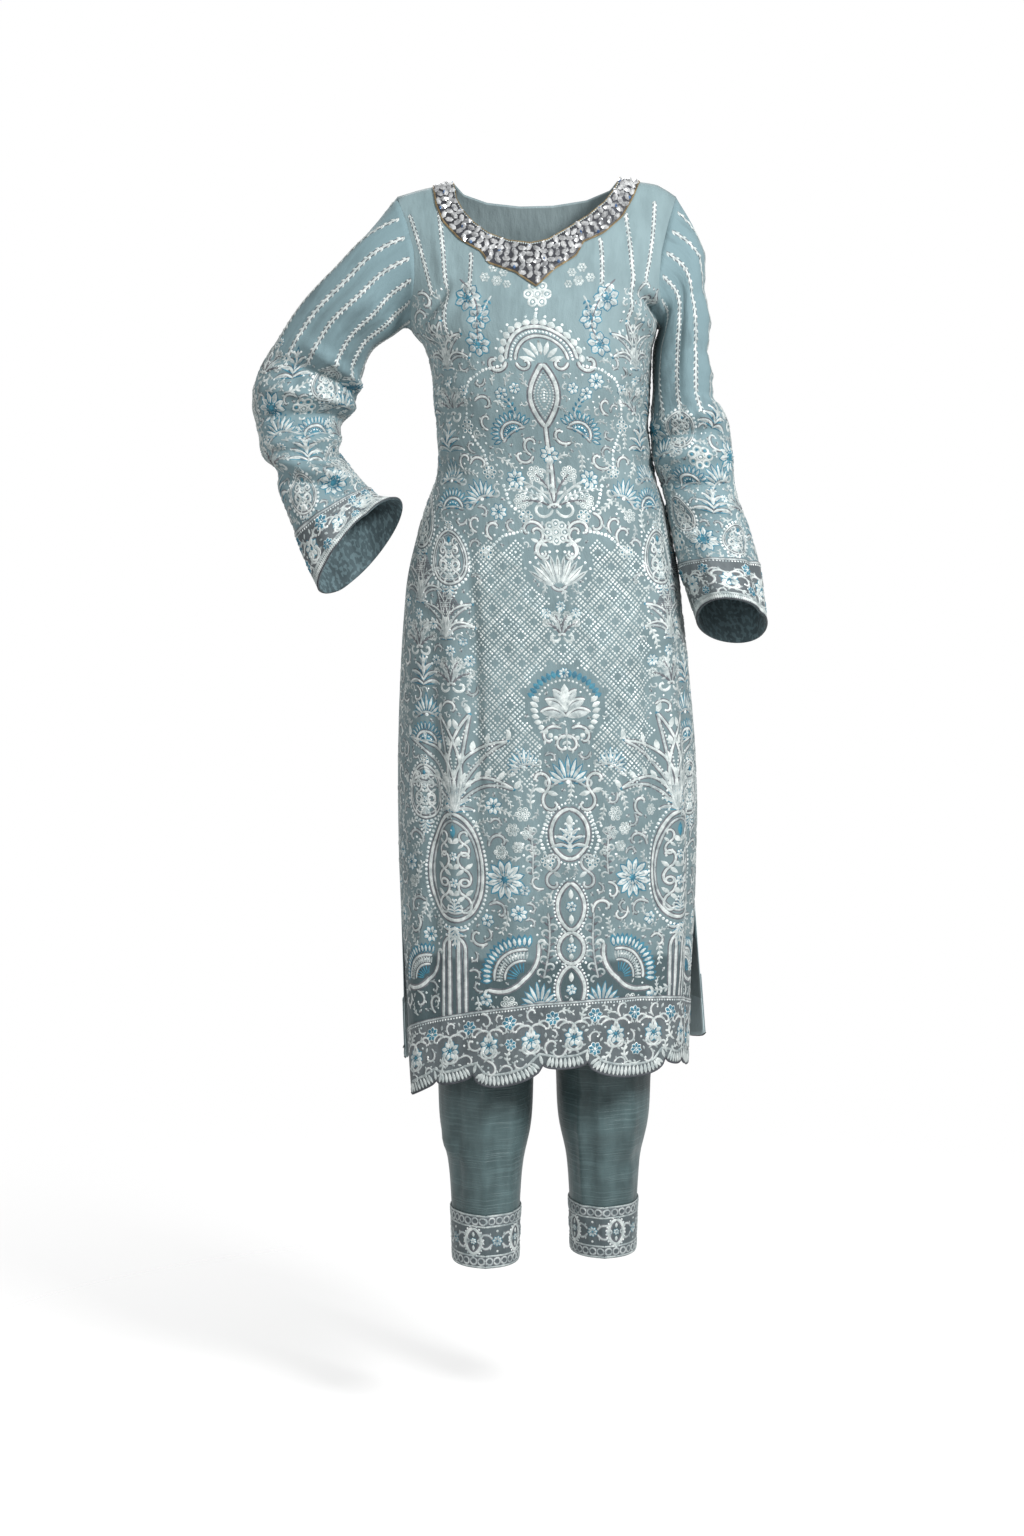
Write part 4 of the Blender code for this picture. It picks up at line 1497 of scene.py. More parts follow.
def sew(name: str, surface: Surface, pattern: Pattern, looks: dict[Thread, Finish], slot: str,
        inside: Callable[[Array], Array] | None = None, lift: float = 0.0) -> list[Piece]:
    """Work a pattern on a worn cloth, as one mesh for each thread.

    Args:
        name: the first part of the meshes' names.
        surface: the cloth.
        pattern: the stitching.
        looks: each thread's finish.
        slot: the record slot of the cloth.
        inside: tells which places are on the cloth; stitches off it are left out.
        lift: how far above the surface the cloth's face is.

    Returns:
        The meshes.
    """
    made = []
    for thread in Thread:
        stitches = [stitch for stitch in pattern.stitches if stitch.thread is thread]
        if not stitches:
            continue
        starts = np.cumsum([0] + [len(stitch.places) for stitch in stitches[:-1]])
        places = np.concatenate([stitch.places for stitch in stitches])
        faces = np.concatenate([stitch.faces + start for stitch, start in zip(stitches, starts)])
        lifts = np.concatenate([stitch.lifts for stitch in stitches]) + lift
        if inside is not None:
            faces = faces[inside(places)[faces].all(axis=1)]
        if surface.facing < 0:
            faces = faces[:, ::-1]
        used, faces = np.unique(faces, return_inverse=True)
        vertices = surface.place(places[used], lifts[used])
        mesh = fill_mesh(f"{name}_{thread.value}", vertices, faces.reshape(-1, 3))
        if thread in FACETED:
            mesh.shade_flat()
        made.append(place_mesh(mesh.name, mesh, looks[thread], slot))
        LOG.info("%s: %d triangles", mesh.name, len(mesh.polygons))
    return made


# ---------------------------------------------------------------- motifs


def bow(start: complex, end: complex, bulge: float, count: int = 12) -> Array:
    """A curve of count points between two places, bulging to the left by a share of its length."""
    t = np.linspace(0, 1, count)
    return start + (end - start) * (t + 1j * bulge * 4 * t * (1 - t))


def curl(start: complex, heading: float, size: float, turns: float) -> Array:
    """A spiral that winds in from a place and reaches as far as its size; turns go left.

    Args:
        start: its outer end.
        heading: its first heading, in degrees.
        size: how far it reaches.
        turns: how often it winds round.

    Returns:
        The line.
    """
    t = np.linspace(0, 1, max(10, round(18 * abs(turns))))
    angle = np.radians(heading) + 2 * np.pi * turns * t
    line = np.append(0, np.cumsum((np.exp(1j * angle) * ((1 - t) ** 1.3 + 0.08))[:-1]))
    return start + size * line / np.abs(line).max()


def ring(radius: float, count: int = 24) -> Array:
    """A closed circle round the middle."""
    return radius * np.exp(2j * np.pi * np.linspace(0, 1, count + 1))


def daisy(radius: float, petals: int, petal: Thread = PALE, heart: Thread = TEAL) -> Pattern:
    """A flower of satin petals on darker ones that show as their edges, round a beaded heart.

    Args:
        radius: in millimetres.
        petals: how many.
        petal: the petals' thread.
        heart: the thread of their edges and the heart.

    Returns:
        The motif.
    """
    made = Pattern()
    wide = 2 * math.pi * radius * 0.66 / petals
    for k in range(petals):
        way = np.exp(2j * np.pi * (k + 0.25) / petals)
        made.leaf(heart, way * radius * 0.2, way * radius * 1.06, wide * 1.18, 0.45)
        made.leaf(petal, way * radius * 0.28, way * radius, wide * 0.86, 1.1)
        if radius > 12:
            made.cord(heart, [way * radius * 0.3, way * radius * 0.68], radius * 0.035, 1.7)
    made.bead(heart, 0, radius * 0.22, 1.5)
    return made.beads(petal, ring(radius * 0.3, 6), 1.0, radius * 0.31)


def blossom(radius: float, petals: int, edge: Thread = PALE, fill: Thread = SEQUIN) -> Pattern:
    """A round-petalled flower: looped petals with a filled heart of sequins.

    Args:
        radius: in millimetres.
        petals: how many.
        edge: the loops' thread.
        fill: what fills them.

    Returns:
        The motif.
    """
    made = Pattern()
    for k in range(petals):
        way = np.exp(2j * np.pi * k / petals)
        loop = way * radius * (0.68 + ring(0.3, 9))
        made.cord(edge, loop, radius * 0.1)
        made.bead(fill, way * radius * 0.68, radius * 0.12)
    made.cord(edge, ring(radius * 0.28, 9), radius * 0.09)
    made.bead(SEQUIN, 0, radius * 0.14)
    return made


def sprig(length: float, leaves: int, stem: Thread, leaf: Thread, bulge: float = 0.1) -> Pattern:
    """A bowed stem with pairs of leaves, upright from the middle.

    Args:
        length: in millimetres.
        leaves: how many pairs.
        stem: the stem's thread.
        leaf: the leaves' thread.
        bulge: of the stem, as a share of its length.

    Returns:
        The motif.
    """
    made = Pattern()
    line = bow(0, 1j * length, bulge)
    made.cord(stem, line, 1.3)
    for k, at in enumerate(even(line, length / leaves)[1:]):
        size = length / leaves * (1.05 - 0.35 * k / leaves)
        for turn in (1, -1):
            made.leaf(leaf, at, at + size * np.exp(1j * (math.pi / 2 + turn * 0.85)), size * 0.42)
    return made


def knots(radius: float, thread: Thread) -> Pattern:
    """A round patch of close French knots.

    Args:
        radius: in millimetres.
        thread: what it is worked in.

    Returns:
        The motif.
    """
    made = Pattern()
    for row in range(-6, 7):
        for col in range(-6, 7):
            at = 2.9 * (col + row % 2 / 2) + 2.5j * row
            if abs(at) < radius:
                made.bead(thread, at, 1.35, 1.2)
    return made


def palmette(size: float, thread: Thread = PALE) -> Pattern:
    """A standing spray of bowed leaves, longest at the foot, with teal ribs between them.

    Args:
        size: its size, in millimetres.
        thread: the middle leaf's thread.

    Returns:
        The motif.
    """
    made, half = Pattern(), Pattern()
    for k, turn in enumerate((84, 60, 38, 16)):
        foot = 1j * size * 0.13 * k
        tip = foot + size * (0.6 - 0.04 * k) * toward(90 - turn)
        line = bow(foot, tip, 0.2)
        half.braid(thread, line, 1.7)
        half.leaf(SILVER, line[4], tip, size * 0.13, 1.0)
        half.cord(TEAL, bow(foot, tip * 0.94, 0.02), 0.8)
        half.bead(SEQUIN, tip, 1.7)
    made.both(half, 0)
    made.leaf(TEAL, 0.3j * size, 1.06j * size, size * 0.19, 0.5)
    return made.leaf(thread, 0.34j * size, 1.0j * size, size * 0.12, 1.2)


def bouquet(size: float, spread: float = 62) -> Pattern:
    """Flowers, buds and leaves on fanned stems tied at the foot.

    Args:
        size: its size, in millimetres.
        spread: each way, in degrees.

    Returns:
        The motif.
    """
    made = Pattern()
    heads = (blossom(size * 0.15, 7), daisy(size * 0.17, 8))
    for k, turn in enumerate(np.linspace(-spread, spread, 7)):
        way = 1j * np.exp(-1j * math.radians(turn))
        long = size * (0.95 if k % 2 else 0.72) * (1 - abs(turn) / 420)
        line = bow(0, way * long, 0.1 * math.copysign(1, turn))
        made.cord(SILVER if k % 2 else GREY, line, 1.6)
        made.add(heads[k % 2], line[-1], turn)
        for j in (4, 7):
            for side in (1, -1):
                made.leaf(SILVER, line[j], line[j] + size * 0.15 * way * np.exp(0.75j * side), size * 0.055)
    made.cord(PALE, bow(-0.12 * size, 0.12 * size, 0.3), 2.4, 1.1)
    for side in (1, -1):
        made.cord(PALE, curl(side * 2.0 - 2j, -90 + side * 30, size * 0.3, side * 1.0), 1.8)
    return made


def scroll(size: float, thread: Thread = PALE, beads: Thread | None = None) -> Pattern:
    """An S of two curls with leaves at its waist and beads outside its back.

    Args:
        size: its size, in millimetres.
        thread: what it is worked in.
        beads: what lies outside its back, if anything.

    Returns:
        The motif.
    """
    made = Pattern()
    upper = curl(0, 84, size * 0.56, -0.86)
    made.braid(thread, np.concatenate([-upper[::-1], upper[1:]]), 1.0 + size * 0.025)
    for turn in (2.7, -0.44):
        made.leaf(thread, 0, size * 0.36 * np.exp(1j * turn), size * 0.13)
    made.bead(thread, upper[-1], 1.0 + size * 0.02)
    made.bead(thread, -upper[-1], 1.0 + size * 0.02)
    if beads:
        for k in (3, 6, 9):
            step = upper[k + 1] - upper[k - 1]
            out = upper[k] + 1j * step / abs(step) * 3.4
            made.bead(beads, out, 1.5)
            made.bead(beads, -out, 1.5)
    return made


def comma(size: float, thread: Thread = PALE) -> Pattern:
    """A hooked leaf: a curl that ends in a bead, with small leaves on its back.

    Args:
        size: its size, in millimetres.
        thread: what it is worked in.

    Returns:
        The motif.
    """
    line = curl(-0.3j * size, 70, size, -0.8)
    made = Pattern().braid(thread, line, 1.0 + size * 0.04)
    for k in (1, 4, 7):
        step = line[k + 1] - line[k]
        made.leaf(SILVER, line[k], line[k] + size * 0.3 * step / abs(step) * np.exp(0.9j), size * 0.13)
    return made.bead(SEQUIN, line[-1], 1.6)


def cuff_spray() -> Pattern:
    """A small flower between four hooked leaves, to stand between the ovals of a trouser cuff.

    Returns:
        The motif.
    """
    made, half = Pattern(), Pattern()
    half.add(comma(15, SILVER), 7.5 + 7j, -14)
    half.add(comma(15, SILVER), 7.5 - 7j, 194, 1, True)
    made.both(half, 0)
    made.bead(PALE, 12j, 1.6)
    made.bead(PALE, -12j, 1.6)
    return made.add(daisy(6.5, 8, SILVER), 0)


def lotus(size: float) -> Pattern:
    """A fan of tall petals, edged dark, over a curved base with curls.

    Args:
        size: its size, in millimetres.

    Returns:
        The motif.
    """
    made, half = Pattern(), Pattern()
    for k, turn in enumerate(np.linspace(-72, 72, 9)):
        way = toward(90 + turn)
        long = size * (1 - abs(turn) / 260)
        made.leaf(TEAL, way * size * 0.16, way * long * 1.05, size * 0.2, 0.45)
        made.leaf(PALE if k % 2 else SILVER, way * size * 0.22, way * long, size * 0.13, 1.1)
    made.braid(SILVER, bow(-size * 0.5, size * 0.5, 0.2), 1.8)
    half.cord(SILVER, curl(size * 0.5, -40, size * 0.3, 1.0), 1.6)
    made.both(half, 0)
    return made.bead(SEQUIN, size * 0.1j, size * 0.09)


def pod(width: float, height: float, pointed: float) -> Array:
    """An upright oval line; the more pointed it is, the more both its ends are drawn in.

    Args:
        width: across it.
        height: of it.
        pointed: how far its ends are drawn in.

    Returns:
        The line.
    """
    turn = np.linspace(0, 2 * np.pi, 31)
    across = np.sin(turn) * (1 - pointed * np.cos(turn) ** 2)
    return width / 2 * across + 0.5j * height * np.cos(turn)


def link(width: float, height: float, pointed: float = 0.4) -> Pattern:
    """An upright oval band, drawn in at both ends, round a small flower between two leaves.

    Args:
        width: across it.
        height: of it.
        pointed: how far its ends are drawn in.

    Returns:
        The motif.
    """
    outline = pod(width, height, pointed)
    made = Pattern().braid(PALE, outline, 2.6)
    made.beads(SEQUIN, outline * 1.24, 1.4, 4.4)
    for up in (1, -1):
        made.leaf(PALE, 0.16j * up * height, 0.38j * up * height, width * 0.16, 1.1)
    return made.add(daisy(width * 0.2, 6))


def almond(width: float, height: float) -> Pattern:
    """An upright pointed oval of rope, filled with rows of small beads.

    Args:
        width: across it.
        height: of it.

    Returns:
        The motif.
    """
    outline = pod(width, height, 0.6)
    made = Pattern().braid(PALE, outline, 3.0)
    for scale in (0.72, 0.48, 0.24):
        made.beads(SILVER, outline * scale, 1.5, 3.4)
    return made.beads(SEQUIN, [-0.1j * height, 0.1j * height], 1.6, 3.6)


def fronds(size: float) -> Pattern:
    """Long beaded leaves that fan up from a foot and bow outward.

    Args:
        size: its size, in millimetres.

    Returns:
        The motif.
    """
    made, half = Pattern(), Pattern()
    for turn, long, bulge in ((10, 1.0, 0.1), (38, 0.92, 0.22), (68, 0.66, 0.3)):
        tip = size * long * toward(90 - turn)
        half.braid(PALE, bow(0, tip, bulge + 0.05), 1.2 + size * 0.006)
        half.braid(SILVER, bow(0, tip, bulge - 0.09), 1.2 + size * 0.006)
        half.beads(PALE, bow(0.12 * tip, 0.9 * tip, bulge - 0.02), 1.4, 4.4)
        for k, at in enumerate(bow(0, tip, bulge + 0.05)[3::2]):
            half.leaf(PALE, at, at + size * 0.12 * toward(120 - turn), size * 0.05)
        half.bead(TEAL, tip, 2.2)
    made.both(half, 0)
    return made.add(palmette(size * 0.3, SILVER))


def medallion(width: float, height: float) -> Pattern:
    """A drop of doubled rope with beads outside, round mirrored scrolls, small flowers and a bud.

    Args:
        width: across it.
        height: of it.

    Returns:
        The motif.
    """
    made, half = Pattern(), Pattern()
    turn = np.linspace(0, 2 * np.pi, 45)
    drop = width / 2 * np.sin(turn) * (1 - 0.14 * np.cos(turn)) + 0.5j * height * np.cos(turn)
    made.braid(PALE, drop, width * 0.036)
    made.braid(SILVER, drop * 0.87, width * 0.024)
    made.beads(SEQUIN, drop * 1.15, 1.9, 5.2)
    for low, size in ((-0.27, 0.5), (-0.02, 0.5), (0.22, 0.36)):
        half.add(scroll(width * size), width * 0.19 + 1j * height * low, 62)
        half.leaf(PALE, 1j * height * low, (0.12 + 0.1j) * width + 1j * height * low, width * 0.08)
    half.add(comma(width * 0.3, SILVER), width * 0.66 - 0.3j * height, -40)
    half.add(comma(width * 0.3, SILVER), width * 0.6 + 0.26j * height, 10)
    made.both(half, 0)
    made.add(palmette(height * 0.13), -0.42j * height)
    made.add(daisy(width * 0.09, 6), -0.15j * height)
    made.add(daisy(width * 0.08, 6), 0.1j * height)
    made.leaf(TEAL, 0.27j * height, 0.4j * height, width * 0.09)
    made.add(blossom(width * 0.15, 6, PALE, TEAL), 0.59j * height)
    return made.add(palmette(width * 0.36), -0.56j * height, 180)


def canopy(width: float) -> Pattern:
    """A domed crest: a rim of petals over nested arcs, leaves within and curls at both feet.

    Args:
        width: at its foot.

    Returns:
        The motif.
    """
    made, half = Pattern(), Pattern()
    dome = width / 2 * np.exp(1j * np.linspace(0.1, np.pi - 0.1, 21))
    for scale, wide in ((1.0, 2.4), (0.74, 2.0)):
        made.braid(PALE, dome * scale, wide)
    for at in even(dome * 1.03, width * 0.105):
        made.leaf(PALE, at, at * 1.2, width * 0.1, 1.2)
        made.bead(SEQUIN, at * 1.26, 1.8)
    made.beads(SEQUIN, dome * 0.87, 1.7, 4.2)
    half.braid(PALE, curl(width * 0.5 + 1j, -70, width * 0.24, 1.0), 2.4)
    half.braid(PALE, curl(width * 0.36, -110, width * 0.18, -1.0), 2.0)
    for turn in (14, 40, 66, 90):
        way = toward(turn)
        half.leaf(PALE, way * width * 0.1, way * width * 0.32, width * 0.06)
    return made.both(half, 0)


def wing(size: float) -> Pattern:
    """A quarter fan opened upward and outward: bars at its edges, ribs and beads, a rim of petals.

    Args:
        size: its size, in millimetres.

    Returns:
        The motif.
    """
    made = Pattern()
    arc = toward(np.linspace(-6, 100, 15))
    for k, way in enumerate(arc):
        made.leaf(TEAL, way * size * 0.74, way * size * 1.06, size * 0.13, 0.45)
        made.leaf(PALE, way * size * 0.77, way * size, size * 0.08, 1.0)
        made.cord(SILVER, [way * size * 0.47, way * size * 0.64], 1.5)
        if k % 2:
            made.cord(TEAL, [way * size * 0.14, way * size * 0.38], 1.0)
    for radius, wide in ((0.69, 1.9), (0.42, 1.6)):
        made.braid(PALE, arc * size * radius, wide)
    made.beads(SEQUIN, arc * size * 0.56, 1.4, 4.2)
    for turn, bulge, wind in ((-20, -0.16, -1.0), (114, 0.16, 1.0)):
        end = size * 0.9 * toward(turn)
        made.braid(PALE, bow(-0.08 * end, end, bulge), 2.6)
        made.cord(PALE, curl(end, turn, size * 0.16, wind), 2.0)
    return made


def tendril(height: float, size: float = 9.0) -> Pattern:
    """A standing stem with curls to both sides, small leaves and beads.

    Args:
        height: of its stem.
        size: of its curls.

    Returns:
        The motif.
    """
    made = Pattern()
    line = bow(0, 1j * height, 0.05)
    made.braid(SILVER, line, 1.3)
    for k, at in enumerate(even(line, size * 0.85)[:-1]):
        side = 1 if k % 2 else -1
        made.cord(SILVER, curl(at, 90 - side * 45, size, -side * 1.0), 1.4)
        made.bead(SEQUIN, at + side * (size + 2.5) + 4j, 1.6)
        made.leaf(GREY, at, at - side * size * 0.7 + 4j, 2.4)
    return made


def shell_fan(size: float) -> Pattern:
    """A shell opened upward: long ribs and a beaded rim.

    Args:
        size: its size, in millimetres.

    Returns:
        The motif.
    """
    made = Pattern()
    for k, turn in enumerate(np.linspace(34, 146, 11)):
        way = toward(turn)
        made.leaf(PALE if k % 2 else SILVER, way * size * 0.18, way * size * 0.92, size * 0.13)
        made.cord(DARK, [way * size * 0.4, way * size * 0.8], 0.7, 1.0)
        made.bead(SEQUIN, way * size, 1.8)
    return made.braid(SILVER, bow(-0.2 * size, 0.2 * size, -0.3) + 0.14j * size, 1.8)


def crest(size: float) -> Pattern:
    """A standing plume over a spray of hooked leaves, in a wreath, under an arch of teal leaves.

    Args:
        size: its size, in millimetres.

    Returns:
        The motif.
    """
    made, half = Pattern(), Pattern()
    for k in range(9):
        way = toward(-70 + 11 * k)
        half.leaf(PALE, way * size * 0.7, way * size * 0.92 + 0.1j * size, size * 0.12, 1.1)
        way = toward(24 + 8.2 * k)
        half.leaf(TEAL, way * size * 0.84, way * size * 1.06, size * 0.12)
        half.bead(PALE, way * size * 0.77, 1.5)
    for k, turn in enumerate((80, 58, 34)):
        foot = size * (0.11j * k - 0.16j)
        tip = foot + size * (0.66 - 0.05 * k) * toward(90 - turn)
        half.leaf(SILVER, foot, tip, size * 0.18, 1.0)
        half.braid(PALE, bow(foot, tip, 0.24), 2.0)
    half.add(comma(size * 0.5), size * 0.26 - 0.36j * size, -50)
    half.add(comma(size * 0.4), size * 0.12 - 0.62j * size, -80)
    made.both(half, 0)
    made.leaf(PALE, 0.1j * size, 0.68j * size, size * 0.24, 1.2)
    made.add(daisy(size * 0.15, 8), 0.95j * size)
    return made.add(sprig(size * 0.5, 3, SILVER, PALE, 0), -0.45j * size, 180)


def fan(size: float) -> Pattern:
    """A half round shell: ribs, teal lines between them and a scalloped rim of petals.

    Args:
        size: its size, in millimetres.

    Returns:
        The motif.
    """
    made = Pattern()
    arc = toward(np.linspace(10, 170, 13))
    for way in arc:
        made.leaf(TEAL, way * size * 0.6, way * size * 1.06, size * 0.17, 0.45)
        made.leaf(SILVER, way * size * 0.64, way * size, size * 0.11, 1.0)
        made.cord(TEAL, [way * size * 0.16, way * size * 0.46], 1.0)
    made.braid(PALE, arc * size * 0.55, 1.7)
    made.braid(SILVER, bow(-0.6 * size, 0.6 * size, 0.12), 1.7)
    return made.beads(SEQUIN, arc[2:-2] * size * 0.34, 1.5, 4.0)


def lattice(width: float, height: float, pitch: float) -> Pattern:
    """A trellis of doubled dotted lines on the diagonals, with a dotted diamond in each cell.

    Args:
        width: across it.
        height: of it.
        pitch: of its diamonds.

    Returns:
        The motif.
    """
    made = Pattern()
    half = pitch / 2
    across, down = round(width / pitch), round(height / half)
    for row in range(down + 1):
        for col in range(across + 1):
            middle = (col - across / 2 + (row % 2) / 2) * pitch + 1j * (row - down / 2) * half
            if abs(middle.real) > width / 2:
                continue
            for inset, radius, step in ((2.0, 1.4, 4.1), (half * 0.53, 1.4, 4.1)):
                corners = (half - inset) * np.array([1j, 1, -1j, -1, 1j])
                for a, b in zip(corners, corners[1:]):
                    for at in even([middle + a, middle + b], step)[:-1]:
                        made.bead(PALE if (row + col) % 3 else SEQUIN, at, radius)
    return made


def vine(line: Sequence[complex], size: float = 4.4) -> Pattern:
    """A cord with a close row of slanting leaf stitches to both its sides.

    Args:
        line: where it runs.
        size: of its leaves.

    Returns:
        The motif.
    """
    made = Pattern()
    line = even(line, size * 0.66)
    way = np.gradient(line)
    way /= np.abs(way)
    for k, (at, ahead) in enumerate(zip(line, way)):
        side = 1 if k % 2 else -1
        made.leaf(PALE, at, at + size * ahead * np.exp(side * 0.8j), size * 0.42, 1.0)
    return made.braid(PALE, line, 1.6)


def garland(line: Sequence[complex]) -> Pattern:
    """A chain of sequins of two sizes, with a blossom at its lowest place.

    Args:
        line: where it hangs.

    Returns:
        The motif.
    """
    made = Pattern()
    line = even(line, 4.9)
    for k, at in enumerate(line):
        made.bead(SEQUIN, at, 2.3 if k % 2 else 1.9)
    return made.add(blossom(8.5, 6, PALE, TEAL), line[np.argmin(line.imag)])


def bars(height: float) -> Pattern:
    """Two nested tall arches of doubled cord, open at the foot.

    Args:
        height: of the taller arch.

    Returns:
        The motif.
    """
    made = Pattern()
    for half, top, width in ((14.5, 0.92, 2.3), (6.0, 1.0, 2.7)):
        arch = half * np.exp(1j * np.linspace(0, np.pi, 9)) + 1j * (height * top - half)
        made.braid(PALE, np.concatenate([[half], arch, [-half]]), width, 1.0)
    return made


class Ground:
    """Keeps note of where a cloth is stitched already."""

    CELL = 3.0
    REACH = 480.0       # of the map, each way from the middle
    DEPTH = 1120.0

    def __init__(self, inside: Callable[[Array], Array]) -> None:
        """Start with what lies off the cloth as taken.

        Args:
            inside: tells which places are on the cloth.
        """
        across = np.arange(-self.REACH, self.REACH, self.CELL)
        down = np.arange(40.0, -self.DEPTH, -self.CELL)
        self.taken = ~inside(across[None] + 1j * down[:, None])

    def cells(self, places: Array) -> tuple[Array, Array]:
        """The map's cells of some places.

        Args:
            places: the places.

        Returns:
            Their rows and their columns.
        """
        row = np.clip((40.0 - places.imag) / self.CELL, 0, self.taken.shape[0] - 1).astype(int)
        col = np.clip((places.real + self.REACH) / self.CELL, 0, self.taken.shape[1] - 1).astype(int)
        return row, col

    def mark(self, pattern: Pattern, first: int = 0) -> int:
        """Take the cells of a pattern's stitches from one on, and count the stitches.

        Args:
            pattern: the stitching.
            first: the first stitch to take.

        Returns:
            The count.
        """
        for stitch in pattern.stitches[first:]:
            self.taken[self.cells(stitch.places)] = True
        return len(pattern.stitches)

    def fill(self, pattern: Pattern, motifs: Sequence[tuple[Pattern, float, int]],
             spots: Callable[[np.random.Generator, int], Array], rng: np.random.Generator) -> None:
        """Scatter motifs over what is still free.

        Args:
            pattern: the pattern that gets them.
            motifs: each motif, the room round its middle that it needs, and how often to try it.
            spots: gives random places to try.
            rng: the source of the order.
        """
        for motif, room, tries in motifs:
            probe = np.append(room * RIM, [0, room * 0.5, -room * 0.5, room * 0.5j, -room * 0.5j])
            for at in spots(rng, tries):
                row, col = self.cells(at + probe)
                if self.taken[row, col].any():
                    continue
                before = len(pattern.stitches)
                pattern.add(motif, at, float(rng.uniform(0, 360)), float(rng.uniform(0.85, 1.1)))
                self.mark(pattern, before)


def small_motifs(density: float, teal: float = 1.0) -> list[tuple[Pattern, float, int]]:
    """The small motifs that fill a cloth, from the largest down.

    Args:
        density: how often each is tried, against the skirt.
        teal: how often the teal flowers are, against the others.

    Returns:
        Each motif, its room and its tries.
    """
    return [
        (daisy(9.5, 8), 9.0, round(70 * density * teal)),
        (comma(19.0).recentred(), 8.0, round(900 * density)),
        (blossom(8.0, 6), 8.0, round(300 * density)),
        (sprig(24.0, 4, SILVER, PALE).recentred(), 6.5, round(1500 * density)),
        (comma(13.0, SILVER).recentred(), 5.6, round(2400 * density)),
        (daisy(6.0, 6, SILVER), 5.5, round(600 * density * teal)),
        (sprig(14.0, 3, SILVER, SILVER, 0.2).recentred(), 4.0, round(4000 * density)),
        (curl_stitch(), 3.4, round(5200 * density)),
        (petal_stitch(), 2.6, round(6200 * density)),
        (Pattern().bead(SEQUIN, 0, 1.5), 2.0, round(5200 * density)),
    ]


def curl_stitch() -> Pattern:
    """A small curl of cord with a sequin in it."""
    made = Pattern().cord(SILVER, curl(-3 - 3j, 60, 8.0, 1.1), 1.2)
    return made.bead(SEQUIN, 0.5 + 0j, 1.2)


def petal_stitch() -> Pattern:
    """Two crossed satin stitches."""
    made = Pattern().leaf(SILVER, -3.2 + 0j, 3.2 + 0.6j, 2.4)
    return made.leaf(GREY, -1 - 2.8j, 1.4 + 3.0j, 1.8)


def front_centre() -> Pattern:
    """The stem of motifs down the middle of the front, and what leans on it to both sides.

    Returns:
        The stitching.
    """
    made = Pattern().beads(SEQUIN, [-156j, -170j], 2.0, 4.4)
    made.braid(PALE, [-292j, -380j], 2.4)
    buds = ((40 - 112j, 5.5), (52 - 106j, 6.0), (48 - 122j, 6.5), (62 - 118j, 6.0), (36 - 126j, 5.0))
    made.lay((blossom(size, 6), at) for at, size in buds)
    for turn in (52, 128):
        made.both(comma(24), 14 - 416j + 12j * math.cos(math.radians(turn)), -turn + 50)
    for line in ([48 - 222j, 70 - 226j, 90 - 238j, 98 - 256j, 96 - 292j], [92 - 300j, 78 - 322j, 74 - 346j],
                 [34 - 398j, 52 - 384j, 58 - 362j], [36 - 414j, 62 - 420j, 84 - 440j]):
        made.both(garland(line), 0)
    return made.lay((
        (blossom(16, 6), -138j), (canopy(84), -218j), (almond(32, 72), -256j), (bouquet(66, 78), -388j),
        (blossom(15, 8), -416j), (shell_fan(46), -484j), (daisy(16, 7, SILVER), 82 - 142j, 10),
        (daisy(14, 7, SILVER), 66 - 166j, 25), (daisy(15, 7, SILVER), 72 - 196j, 5),
        (sprig(76, 10, GREY, PALE, -0.16), 92 - 120j, 164), (sprig(30, 5, SILVER, TEAL), 54 - 140j, 196),
        (sprig(26, 4, SILVER, TEAL), 34 - 282j, -30), (daisy(8, 6), 50 - 254j), (daisy(7, 6), 34 - 248j),
        (fan(27), 38 - 302j, -34), (sprig(46, 7, SILVER, SEQUIN), 8 - 384j, -66),
        (lotus(28), 84 - 380j, -24), (scroll(30), 20 - 428j, 50),
    ))


def front_lattice() -> Pattern:
    """The trellis of the front, round its own crest.

    Returns:
        The stitching.
    """
    made = Pattern()
    for stitch in lattice(216, 248, 32).stitches:
        middle = stitch.places.mean() - 568j
        in_fan = abs(middle + 452j) < 42
        in_crest = abs(middle + 616j) < 48
        in_spray = abs(middle.real) / 20 + abs(middle.imag + 512) / 36 < 1
        in_foot = abs(middle.real) < 30 and middle.imag < -640
        tapered = abs(middle.real) > 0.9 * (middle.imag + 812)
        if not (in_fan or in_crest or in_spray or in_foot or tapered):
            made.stitches.append(stitch._replace(places=stitch.places - 568j))
    made.add(bouquet(36, 50), -536j)
    made.add(crest(45), -622j)
    return made


